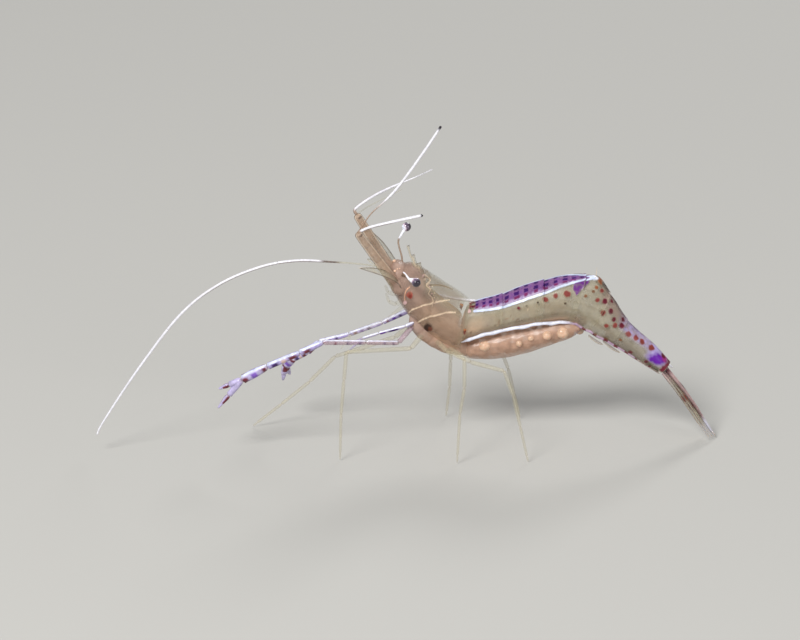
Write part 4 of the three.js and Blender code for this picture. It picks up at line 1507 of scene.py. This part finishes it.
@dataclass
class Cheliped:
    """A long slender claw arm, striped white and banded purple."""

    side: Side
    arms: dict[Side, Sequence[Point]] = sided(
        ((-0.1, -1.5, 6.35), (-1.9, -2.1, 6.6), (-4.25, -2.7, 6.83)),
        ((-1.0, 1.05, 6.62), (-2.85, 1.4, 5.8), (-4.55, 1.65, 5.25)),
    )
    forearms: dict[Side, Sequence[Point]] = sided(
        ((-5.55, -2.7, 6.2), (-7.35, -2.6, 5.36)),
        ((-5.2, 1.75, 4.6), (-5.95, 1.9, 4.2)),
    )
    palms: dict[Side, Point] = sided((-8.75, -2.5, 4.55), (-6.45, 2.35, 3.6))
    fingers: dict[Side, Sequence[Point]] = sided(
        ((-10.05, -2.35, 3.95), (-10.1, -2.45, 2.84)),
        ((-6.6, 2.7, 2.55), (-6.2, 3.0, 2.8)),
    )
    forward: float = 1.7

    def build(self) -> None:
        """Builds the arm, the forearm and the claw."""
        letter = self.side.letter
        root = POSTURE.in_head(self.forward, self.side.value * 0.78, -2.75)
        near = self.side is Side.LEFT
        ink, plum, stripes = INK.purple, INK.maroon, Band.STRIPED
        arm_points = [root, *vectors(self.arms[self.side])]
        radii = (0.15, 0.13, 0.13, 0.15)
        arm_bands = ((0.12, 0.15, ink), (0.4, 0.43, ink), (0.7, 0.73, plum)) if near else (
            (0.34, 0.44, ink), (0.54, 0.66, (86, 44, 140)), (0.76, 0.86, plum))
        arm = [
            Segment(a, b, p, q, 0.05, *((Band.CLEAR, ()) if near and k == 0 else (stripes, arm_bands)))
            for k, (a, b, p, q) in enumerate(zip(arm_points, arm_points[1:], radii, radii[1:]))
        ]
        arm_paint = {"ground": (176, 146, 158), "opacity": 0.46, "stripe_half": 20.0} if near else {
            "ground": (172, 158, 206), "opacity": 0.8, "stripe_half": 30.0, "band_from": 34.0}
        shell = {"slot": Slot.CLAW, "finish": CLAW_SHELL}
        Limb(f"cheliped_{letter}_merus", [f"cheliped_{letter}_arm"], arm, **shell, **arm_paint).build()
        elbow = arm_points[-1]
        wrist, hand = vectors(self.forearms[self.side])
        fore = [
            Segment(elbow, wrist, 0.15, 0.18, 0.1, stripes, ((0.55, 0.85, plum),)),
            Segment(wrist, hand, 0.16, 0.19, 0.08, stripes,
                    ((0.1, 0.34, plum), (0.42, 0.56, (206, 178, 166)), (0.66, 0.86, ink))),
        ]
        cold = (212, 218, 242)
        paint = {"ground": (172, 160, 206), "opacity": 0.84, "stripe_half": 28.0, "band_from": 40.0,
                 "stripe": cold}
        Limb(f"cheliped_{letter}_wrist", [f"cheliped_{letter}_forearm"], fore, **shell, **paint).build()
        palm = Vector(self.palms[self.side])
        claw = [Segment(hand, palm, 0.19, 0.24, 0.2, stripes,
                        ((0.06, 0.2, plum), (0.4, 0.62, (120, 84, 176)), (0.78, 0.97, plum)))]
        for tip in vectors(self.fingers[self.side]):
            knuckle = palm + (tip - palm).normalized() * 0.02
            middle = knuckle.lerp(tip, 0.55)
            claw.append(Segment(knuckle, middle, 0.18, 0.155, 0.1, Band.CLEAR,
                                () if near else ((0.0, 0.6, plum),)))
            claw.append(Segment(middle, tip, 0.155, 0.04, 0.12, Band.CLEAR,
                                ((0.0, 0.55, plum),) if near else ()))
        hand_paint = {"ground": (186, 176, 212), "opacity": 0.88, "stripe_half": 22.0, "band_from": 30.0,
                      "stripe": cold}
        Limb(f"cheliped_{letter}_hand", [f"cheliped_{letter}_claw"], claw, **shell, **hand_paint).build()


@dataclass
class FirstLegs:
    """The short first legs, with fine pincers, held under the head."""

    joints: dict[Side, Sequence[Point]] = sided(
        ((0.3, -1.15, 7.2), (-1.2, -1.2, 6.8), (-2.1, -1.2, 6.5)),
        ((-0.7, 0.35, 7.05), (-1.8, 0.3, 6.55), (-2.7, 0.25, 6.2)),
    )
    tips: dict[Side, Sequence[Point]] = sided(
        ((-2.9, -1.15, 6.1), (-2.85, -1.15, 5.75)),
        ((-3.35, 0.2, 5.8), (-3.3, 0.2, 5.35)),
    )
    roots: dict[Side, Point] = sided((1.85, -0.9, -2.6), (2.3, 0.6, -2.5))

    def build(self) -> None:
        """Builds both legs."""
        for side in Side:
            points = [POSTURE.in_head(*self.roots[side]), *vectors(self.joints[side])]
            near = side is Side.LEFT
            girths = (0.11, 0.1, 0.085, 0.08)
            marks = ((0.3, 0.62, INK.purple), (0.74, 0.96, (90, 40, 130))) if near else ()
            parts = [
                Segment(a, b, p, q, 0.06, Band.STRIPED if near else Band.CLEAR, marks if k == 1 else ())
                for k, (a, b, p, q) in enumerate(zip(points, points[1:], girths, girths[1:]))
            ]
            parts += [Segment(points[-1], tip, 0.07, 0.03, 0.2) for tip in vectors(self.tips[side])]
            paint = ({"opacity": 0.5, "ground": (176, 166, 196), "stripe_half": 36.0, "band_from": 36.0}
                     if near else {"opacity": 0.14})
            Limb(f"leg_1_{side.letter}_small", [f"leg_1_{side.letter}"], parts, **paint).build()


@dataclass
class Maxillipeds:
    """The leg-like mouthparts folded under the head."""

    route: Sequence[Point] = ((3.1, 0.45, -1.95), (3.2, 0.5, -2.45), (3.65, 0.48, -2.55), (4.1, 0.42, -2.25))
    radii: Sequence[float] = (0.15, 0.13, 0.1, 0.05)

    def build(self) -> None:
        """Builds both mouthparts."""
        for side in Side:
            points = [POSTURE.in_head(f, r * side.value, u) for f, r, u in self.route]
            parts = chain(points, self.radii, 0.1)
            Limb(f"maxilliped_{side.letter}_jointed", [f"maxilliped_{side.letter}"], parts,
                 opacity=0.15).build()


@dataclass
class Antennules:
    """The two tan peduncles in front of the head, each with two white flagella."""

    root: Point = (4.05, 0.42, -1.47)
    tips: dict[Side, Point] = sided((8.0, -0.62, -0.08), (8.25, 0.6, 0.25))
    joints: Sequence[float] = (0.48, 0.76)
    rods: dict[str, Sequence[Point]] = field(default_factory=lambda: {
        "outer_r": ((-2.45, -0.98, 14.02), (-1.61, -0.5, 14.5), (-0.67, 0, 14.85), (0.92, 0.3, 15.45),
                    (1.78, 0.4, 15.83)),
        "outer_l": ((-2.0, -1.65, 13.35), (-1.55, -1.2, 13.85), (-0.3, -0.75, 14.95), (1.1, -0.4, 16.8),
                    (2.25, -0.1, 18.5)),
        "inner_l": ((-1.6, -2.2, 13.37), (-0.1, -2.3, 13.78), (1.25, -2.4, 14.12)),
        "inner_r": ((-1.75, -0.1, 13.85), (-1.0, 0.5, 14.05), (0.1, 0.9, 14.5)),
    })
    rod_radii: dict[str, tuple[float, float, float]] = field(default_factory=lambda: {
        "outer_r": (0.088, 0.035, 0.5), "outer_l": (0.08, 0.06, 0.9), "inner_l": (0.084, 0.066, 0.95),
        "inner_r": (0.045, 0.025, 0.5),
    })

    def build(self) -> None:
        """Builds the peduncles and the flagella."""
        for side in Side:
            self.peduncle(side)
        for key, points in self.rods.items():
            side = Side.LEFT if key.endswith("l") else Side.RIGHT
            tip = POSTURE.in_head(*self.tips[side])
            root_radius, tip_radius, thin_from = self.rod_radii[key]
            # The outer right rod takes painted shade further round its underside than the others.
            Feeler(f"flagellum_{key}", [f"antennule_{key}"], [tip, *vectors(points)], root_radius, tip_radius,
                   white_from=0.34 if key == "outer_l" else 0.05, dark_tip=key in ("outer_l", "inner_l"),
                   thin_from=thin_from, faint=key == "inner_r", slim_base=key == "outer_l",
                   underside_shade_from=70.0 if key == "outer_r" else 100.0).build()

    def peduncle(self, side: Side) -> None:
        """Builds one peduncle: a clear sleeve in three segments over a brown core.

        Args:
            side: The side.
        """
        root = POSTURE.in_head(self.root[0], side.value * self.root[1], self.root[2])
        tip = POSTURE.in_head(*self.tips[side])
        for name, scale, finish, opacity, nodes in (
            ("sleeve", 1.0, LIMB_SHELL, 0.5, [f"antennule_peduncle_{side.letter}"]),
            ("core", 0.62, FLESH, 0.24, []),
        ):
            shares = np.linspace(0, 1, 110)
            joints = sum(bell(shares, joint, 0.014) for joint in self.joints)
            ends = closed(shares, 40, 0.1)
            girth = (0.33 - 0.1 * shares) * (1 - 0.035 * joints) * ends * scale
            piece = Piece(f"peduncle_{side.letter}_{name}")
            route = Route([root, root.lerp(tip, 0.5), tip], Vector((0.0, -1.0, 0.4)))
            piece.tube(route.frames(shares, girth, girth), 96, list(shares))
            painter = self.paint_sleeve if name == "sleeve" else self.paint_core
            piece.place(finish, Slot.SHELL, nodes, (198, 170, 146), opacity, painter)

    def paint_sleeve(self, coat: Coat) -> None:
        """Tan, with dark lines along both sides that are painted shade where the sleeve is seen edge-on, pale
        lines inside them, and a dark dot at the end.
        """
        coat.lay(fall(0.1, 0.4, coat.along), (190, 158, 138), 0.7)
        # The dark lines at 84 degrees each side are painted shade: they stand where the sleeve's sides are
        # seen edge-on.
        for place, wide, colour, opacity in (
            (84, 16, INK.outline, 0.72), (-84, 16, INK.outline, 0.72), (52, 11, INK.cream, 0.62),
            (-54, 11, INK.cream, 0.6),
        ):
            coat.lay(bell(coat.around, place, wide, 4) * ease(0.16, 0.34, coat.along), colour, opacity)
        joint = sum(bell(coat.along, place, 0.008) for place in self.joints)
        coat.lay(joint * 0.3, INK.outline, 0.6)
        dot = ease(0.945, 0.955, coat.along) * fall(0.97, 0.98, coat.along) * (np.abs(coat.around - 20) < 34)
        coat.lay(dot * 0.8, INK.umber, 0.8)

    @staticmethod
    def paint_core(coat: Coat) -> None:
        """Brown towards the end."""
        coat.lay(ease(0.2, 0.6, coat.along), (160, 132, 106), 0.42)


@dataclass
class Feeler:
    """A ringed feeler: many short rings from its base to its tip."""

    name: str
    nodes: Sequence[str]
    points: Sequence[Vector]
    radius: float
    tip_radius: float
    white_from: float = 0.1
    dark_tip: bool = False
    thin_from: float = 0.9
    ring_length: float = 0.2
    span: Pair = (0.0, 1.0)
    base_radius: float | None = None
    faint: bool = False
    slim_base: bool = False
    dark_until: float = 0.0
    # How far round from the upper side the painted shade on the underside begins, in degrees.
    underside_shade_from: float = 110.0

    def girth(self, shares: Array) -> Array:
        """The radius along the feeler."""
        body = (self.radius + (self.tip_radius - self.radius)
                * ease(self.thin_from - 0.12, self.thin_from + 0.3, shares))
        if self.base_radius is not None:
            body = body + (self.base_radius - body) * fall(0.0, 0.055, shares)
        if self.slim_base:
            body = body * (0.5 + 0.5 * ease(0.3, 0.38, shares))
        if self.dark_until:
            body = body * (0.62 + 0.38 * ease(self.dark_until - 0.02, self.dark_until + 0.04, shares))
        return body

    def build(self) -> None:
        """Builds the feeler or a length of it."""
        route = Route(self.points)
        start, end = self.span
        count = max(4, round(route.length() * (end - start) / self.ring_length))
        steps = np.linspace(0, count, count * 4 + 1)
        shares = start + (end - start) * steps / count
        waves = 1 - 0.12 * np.abs(np.cos(steps * math.pi)) ** 6
        girth = self.girth(shares) * waves
        for end_index in (0, -1):
            girth[end_index] *= 0.55
        piece = Piece(self.name)
        piece.tube(route.frames(shares, girth, girth), 14, list(shares))
        piece.place(FEELER_SHELL, Slot.FEELER, self.nodes, (226, 224, 230), 0.97, self.paint)

    def paint(self, coat: Coat) -> None:
        """Clear tan at the base, white beyond, painted shade in brown along the underside of the base half,
        and a dark tip where there is one.
        """
        if self.faint:
            coat.lay(np.ones_like(coat.along), INK.clear, 0.16)
            return
        coat.lay(fall(self.white_from * 0.6, self.white_from + 0.02, coat.along), INK.tan, 0.5)
        # Painted shade: brown along the underside of the feeler's base half.
        below = ease(self.underside_shade_from, self.underside_shade_from + 20, np.abs(coat.around)) * fall(0.5, 0.6, coat.along)
        coat.lay(below * 0.8, (110, 78, 66), 0.85)
        if self.dark_tip:
            coat.lay(ease(0.955, 0.985, coat.along), INK.ink, 0.95)
        if self.dark_until:
            coat.lay(fall(self.dark_until, self.dark_until + 0.02, coat.along), (110, 92, 84), 0.7)
            coat.lay(fall(self.dark_until - 0.045, self.dark_until - 0.02, coat.along), INK.clear, 0.26)


@dataclass
class Antennae:
    """The two long whips, each built in three lengths, with stout tan bases."""

    root: Point = (4.1, 0.8, -1.65)
    routes: dict[Side, Sequence[Point]] = sided(
        (
            (-1.17, -1.95, 10.85), (-1.56, -2.1, 11.09), (-2.5, -2.3, 11.29), (-3.61, -2.5, 11.44),
            (-5.67, -2.6, 11.56), (-7.7, -2.6, 11.18), (-10.0, -2.5, 10.1), (-12.1, -2.3, 8.3),
            (-14.4, -2.1, 5.15), (-16.4, -2.0, 2.0), (-16.85, -2.0, 1.1),
        ),
        (
            (-1.55, 0.7, 10.25), (-1.75, 1.7, 10.15), (-1.0, 2.55, 9.5), (0.3, 2.9, 8.55),
            (1.8, 3.0, 7.7), (3.6, 2.9, 7.3), (6.0, 2.7, 7.3), (8.6, 2.55, 7.5), (11.0, 2.45, 6.9),
            (13.3, 2.35, 5.3), (15.3, 2.25, 3.5),
        ),
    )
    lengths: int = 3
    radius: float = 0.078
    base_radius: float = 0.14

    def build(self) -> None:
        """Builds both antennae."""
        for side, points in self.routes.items():
            forward, right, up = self.root
            root = POSTURE.in_head(forward, side.value * right, up)
            for number in range(self.lengths):
                span = (number / self.lengths, (number + 1) / self.lengths)
                key = f"{side.letter}_{number + 1}"
                Feeler(f"whip_{key}", [f"antenna_{key}"], [root, *vectors(points)], self.radius, 0.05,
                       white_from=0.175, thin_from=0.8, span=span, base_radius=self.base_radius,
                       dark_until=0.215 if side is Side.LEFT else 0.2).build()


@dataclass
class Leaf:
    """A thin blade with a midrib and a fringe of bristles."""

    name: str
    nodes: Sequence[str]
    route: Sequence[Vector]
    half_widths: Sequence[float]
    across: Vector
    slot: Slot
    ground: Colour
    opacity: float
    thickness: float = 0.05
    arch: float = 0.12
    fringe: int = 26
    fringe_length: float = 0.16
    fringe_from: float = 0.45
    painter: Painter | None = None
    edge: Colour = INK.cream

    def lay(self, u: Array, v: Array) -> Laid:
        """Places the blade's points.

        Args:
            u: Shares of its length.
            v: Shares of its width.

        Returns:
            The places and the measures along and around.
        """
        line = Route(self.route)
        middle = line.at(u)
        ahead = line.at(np.clip(u + 0.02, 0, 1)) - line.at(np.clip(u - 0.02, 0, 1))
        ahead /= np.linalg.norm(ahead, axis=1)[:, None]
        across = np.array(self.across[:])[None, :] - ahead * (ahead @ np.array(self.across[:]))[:, None]
        across /= np.linalg.norm(across, axis=1)[:, None]
        up = np.cross(ahead, across)
        width = smooth_run(np.array(self.half_widths)[:, None], u * (len(self.half_widths) - 1))[:, 0]
        width = width * np.sqrt(np.clip(1 - (np.clip(u - 0.93, 0, 1) / 0.07) ** 2, 0.02, 1))
        side = 2 * v - 1
        bow = self.arch * (1 - side**2) + 0.05 * bell(side, 0, 0.12)
        points = middle + across * (side * width)[:, None] + up * (bow * width)[:, None]
        return points, u, side

    def build(self) -> None:
        """Builds the blade and its fringe."""
        piece = Piece(self.name)
        piece.skin(70, 26, self.lay)
        piece.place(CUTICLE, self.slot, self.nodes, self.ground, self.opacity, self.paint,
                    wall=self.thickness)
        self.bristles()

    def bristles(self) -> None:
        """Builds the fringe round the blade's end."""
        piece = Piece(f"{self.name}_fringe")
        shares = np.linspace(self.fringe_from, 0.995, self.fringe)
        for edge in (0.0, 1.0):
            roots, _, _ = self.lay(shares, np.full_like(shares, edge))
            inner, _, _ = self.lay(shares, np.full_like(shares, 0.5))
            for share, root, middle in zip(shares, roots, inner):
                start = Vector(root)
                out = (start - Vector(middle)).normalized()
                ahead = (Vector(self.route[-1]) - Vector(self.route[0])).normalized()
                reach = self.fringe_length * (0.6 + 0.4 * share)
                piece.hair(start - out * 0.02, start + (out * 0.55 + ahead * 0.85).normalized() * reach,
                           0.012)
        piece.place(FEELER_SHELL, self.slot, [], INK.cream, 0.55)

    def paint(self, coat: Coat) -> None:
        """A pale midrib and edge, then the blade's own markings."""
        coat.lay(bell(coat.around, 0, 0.1) * 0.6, INK.cream, min(self.opacity + 0.3, 1.0))
        dark = self.edge == INK.outline
        coat.lay(ease(0.84, 0.97, np.abs(coat.around)) * (0.9 if dark else 0.6), self.edge,
                 min(self.opacity + 0.35, 1.0))
        if self.painter is not None:
            self.painter(coat)


@dataclass
class Scales:
    """The leaf-like scales beside the antennae."""

    root: Point = (4.0, 0.95, -1.2)
    tips: dict[Side, Point] = sided((7.03, -2.05, -1.12), (7.4, 1.75, -0.55))
    half_widths: Sequence[float] = (0.22, 0.36, 0.44, 0.45, 0.36, 0.22, 0.05)
    bends: dict[Side, Sequence[Point]] = sided(
        ((4.41, -0.95, -1.03), (5.14, -1.2, -0.92), (6.02, -1.6, -0.95)),
        ((5.2, 1.2, -0.92), (6.3, 1.5, -0.75)),
    )

    def build(self) -> None:
        """Builds both scales."""
        for side in Side:
            root = POSTURE.in_head(self.root[0], side.value * self.root[1], self.root[2])
            tip = POSTURE.in_head(*self.tips[side])
            across = POSTURE.head.to_3x3() @ Vector((0.0, 1.0, 0.2 * side.value))
            bends = [POSTURE.in_head(*bend) for bend in self.bends[side]]
            Leaf(f"scale_{side.letter}_leaf", [f"antennal_scale_{side.letter}"], [root, *bends, tip],
                 self.half_widths, across, Slot.SHELL, (176, 168, 142), 0.26, edge=INK.outline,
                 fringe=16).build()


@dataclass
class TailFan:
    """The narrow closed tail fan: a telson between two pairs of blades."""

    route: Sequence[Pair] = ((14.8, 4.15), (15.65, 3.1), (16.4, 2.05), (17.0, 1.1), (17.6, 0.2))
    middle: float = 0.3
    telson_half_widths: Sequence[float] = (0.36, 0.33, 0.26, 0.18, 0.07)
    blade_half_widths: Sequence[float] = (0.16, 0.24, 0.26, 0.22, 0.08)
    inner: float = 0.3
    outer: float = 0.52
    drop: float = 0.12

    def build(self) -> None:
        """Builds the telson and both uropods."""
        flat = Vector((0.0, 1.0, 0.0))
        Leaf("telson_blade", ["telson"], self.offset(0.0, -0.04, 1.0), self.telson_half_widths, flat,
             Slot.TAIL, INK.pink, 0.42, thickness=0.09, arch=0.3, fringe=5, fringe_from=0.93,
             painter=self.paint_telson).build()
        for side in Side:
            for k, reach in enumerate((self.inner, self.outer)):
                nodes = [f"uropod_{side.letter}"]
                route = self.offset(side.value * reach, self.drop * (1 + k) - 0.04, 0.97 - 0.04 * k)
                tilt = Vector((0.0, 1.0, -0.3 * side.value))
                name = f"uropod_{side.letter}_{'outer' if k else 'inner'}"
                Leaf(name, nodes, route, self.blade_half_widths, tilt, Slot.TAIL, INK.clear, 0.3,
                     thickness=0.045, fringe=22, fringe_length=0.14, painter=self.paint_blade).build()

    def offset(self, right: float, drop: float, share: float) -> list[Vector]:
        """The fan's middle line, moved for one blade.

        Args:
            right: How far to the right.
            drop: How far below.
            share: How much of the length the blade has.

        Returns:
            The blade's route.
        """
        run = [Vector((x, self.middle, z)) for x, z in self.route]
        back = (run[-1] - run[0]).normalized()
        down = Vector((back.z, 0.0, -back.x))
        made = []
        for k, point in enumerate(run):
            spread = 0.55 + 0.45 * min(k / 2.0, 1.0)
            made.append(run[0].lerp(point, share) + Vector((0.0, right * spread, 0.0)) + down * drop)
        return made

    @staticmethod
    def paint_telson(coat: Coat) -> None:
        """Maroon spots and a dark edge."""
        coat.lay(fall(0.0, 0.14, coat.along), INK.maroon, 0.8)
        spot = np.exp(-(((coat.along - 0.3) / 0.07) ** 2 + ((coat.around - 0.1) / 0.45) ** 2))
        coat.lay(spot * 1.3, INK.umber, 0.95)
        coat.lay(ease(0.42, 0.55, coat.along) * 0.4, INK.rust, 0.5)
        coat.lay(ease(0.8, 0.95, np.abs(coat.around)) * 0.8, (70, 48, 56), 0.75)
        coat.lay(ease(0.7, 0.8, coat.along) * 0.8, INK.white, 0.7)

    @staticmethod
    def paint_blade(coat: Coat) -> None:
        """Rosy roots, brown spots and a white end."""
        coat.lay(fall(0.0, 0.25, coat.along), INK.pink, 0.5)
        for place, side, colour in ((0.3, 0.3, INK.maroon), (0.42, -0.3, INK.rust), (0.55, 0.2, INK.maroon)):
            spot = np.exp(-(((coat.along - place) / 0.06) ** 2 + ((coat.around - side) / 0.4) ** 2))
            coat.lay(spot * 1.4, colour, 0.9)
        coat.lay(ease(0.82, 0.96, np.abs(coat.around)) * 0.8, (84, 66, 66), 0.7)
        coat.lay(ease(0.75, 0.9, coat.along) * 0.6, INK.white, 0.6)


@dataclass
class Swimmerets:
    """The swimming legs behind the eggs, each a single fringed leaf."""

    places: dict[int, tuple[Point, Point]] = field(default_factory=lambda: {
        4: ((10.5, 0.5, 6.22), (11.3, 0.6, 5.66)),
        5: ((11.3, 0.5, 5.9), (12.25, 0.6, 5.18)),
    })
    spread: float = 0.42
    half_widths: Sequence[float] = (0.12, 0.2, 0.22, 0.18, 0.06)

    def build(self) -> None:
        """Builds both pairs."""
        for number, (root, tip) in self.places.items():
            for side in Side:
                aside = Vector((0.0, side.value * self.spread, 0.0))
                start, end = Vector(root) + aside, Vector(tip) + aside
                lead = Vector((0.0, side.value * 0.04, -0.04))
                Leaf(f"pleopod_{number}_{side.letter}_leaf", [f"pleopod_{number}_{side.letter}"],
                     [start, start.lerp(end, 0.5) + lead, end], self.half_widths, Vector((0.0, 1.0, 0.0)),
                     Slot.LIMB, (176, 158, 150), 0.34, edge=INK.clear, fringe=8, fringe_length=0.05).build()


@dataclass
class Studio:
    """A plain pale floor, soft light and the camera."""

    floor_radius: float = 0.9
    floor_colour: Point = (0.47, 0.46, 0.43)
    sky_colour: Point = (0.86, 0.88, 0.92)
    sky_strength: float = 0.32
    aim_height: float = 0.008
    lamps: Sequence[tuple[str, Point, float, float]] = (
        ("key", (-0.14, -0.23, 0.27), 0.14, 1.5),
        ("fill", (0.25, -0.24, 0.12), 0.2, 0.3),
        ("back", (0.12, 0.3, 0.2), 0.12, 0.45),
    )
    camera_place: Point = (-0.000374, -0.281912, 0.10976)
    camera_tilt: float = 70.0
    lens: float = 243.0
    sensor: float = 36.0

    def build(self) -> None:
        """Builds the floor, the lights and the camera."""
        self.floor()
        self.lights()
        self.camera()

    def floor(self) -> None:
        """Builds the floor, a wide disc."""
        mesh = bmesh.new()
        bmesh.ops.create_circle(mesh, cap_ends=True, segments=96, radius=self.floor_radius)
        data = bpy.data.meshes.new("floor")
        mesh.to_mesh(data)
        mesh.free()
        made = bpy.data.objects.new("floor", data)
        made.location.z = -0.00002
        bpy.context.collection.objects.link(made)
        material = bpy.data.materials.new("studio_floor")
        material.use_nodes = True
        surface = material.node_tree.nodes["Principled BSDF"]
        surface.inputs["Base Color"].default_value = (*self.floor_colour, 1.0)
        surface.inputs["Roughness"].default_value = 0.85
        data.materials.append(material)

    def lights(self) -> None:
        """Sets a large soft key, a fill, and a light from behind."""
        target = Vector((0.0, 0.0, self.aim_height))
        for name, place, size, power in self.lamps:
            data = bpy.data.lights.new(name, "AREA")
            data.shape = "DISK"
            data.size = size
            data.energy = power
            made = bpy.data.objects.new(name, data)
            made.location = place
            made.rotation_euler = (target - Vector(place)).to_track_quat("-Z", "Y").to_euler()
            bpy.context.collection.objects.link(made)
        world = bpy.data.worlds.new("studio")
        world.use_nodes = True
        sky = world.node_tree.nodes["Background"]
        sky.inputs["Color"].default_value = (*self.sky_colour, 1.0)
        sky.inputs["Strength"].default_value = self.sky_strength
        bpy.context.scene.world = world

    def camera(self) -> None:
        """Sets the camera."""
        data = bpy.data.cameras.new("camera")
        data.lens = self.lens
        data.sensor_width = self.sensor
        data.clip_start = 0.01
        data.clip_end = 10.0
        made = bpy.data.objects.new("camera", data)
        made.location = self.camera_place
        made.rotation_euler = (math.radians(self.camera_tilt), 0.0, 0.0)
        bpy.context.collection.objects.link(made)
        bpy.context.scene.camera = made


def main() -> None:
    """Builds the whole model and its studio."""
    logging.basicConfig(level=logging.INFO, format="%(name)s: %(message)s")
    scene = bpy.context.scene
    scene.view_settings.view_transform = "Standard"
    scene.cycles.transparent_max_bounces = 48
    Studio().build()
    Carapace().build()
    HeadFlesh().build()
    Rostrum().build()
    Abdomen().build()
    EggMass().build()
    for side in Side:
        Eye(side).build()
    Antennules().build()
    Antennae().build()
    Scales().build()
    Maxillipeds().build()
    FirstLegs().build()
    for side in Side:
        Cheliped(side).build()
    WalkingLegs().build()
    TailFan().build()
    Swimmerets().build()


if __name__ == "__main__":
    main()
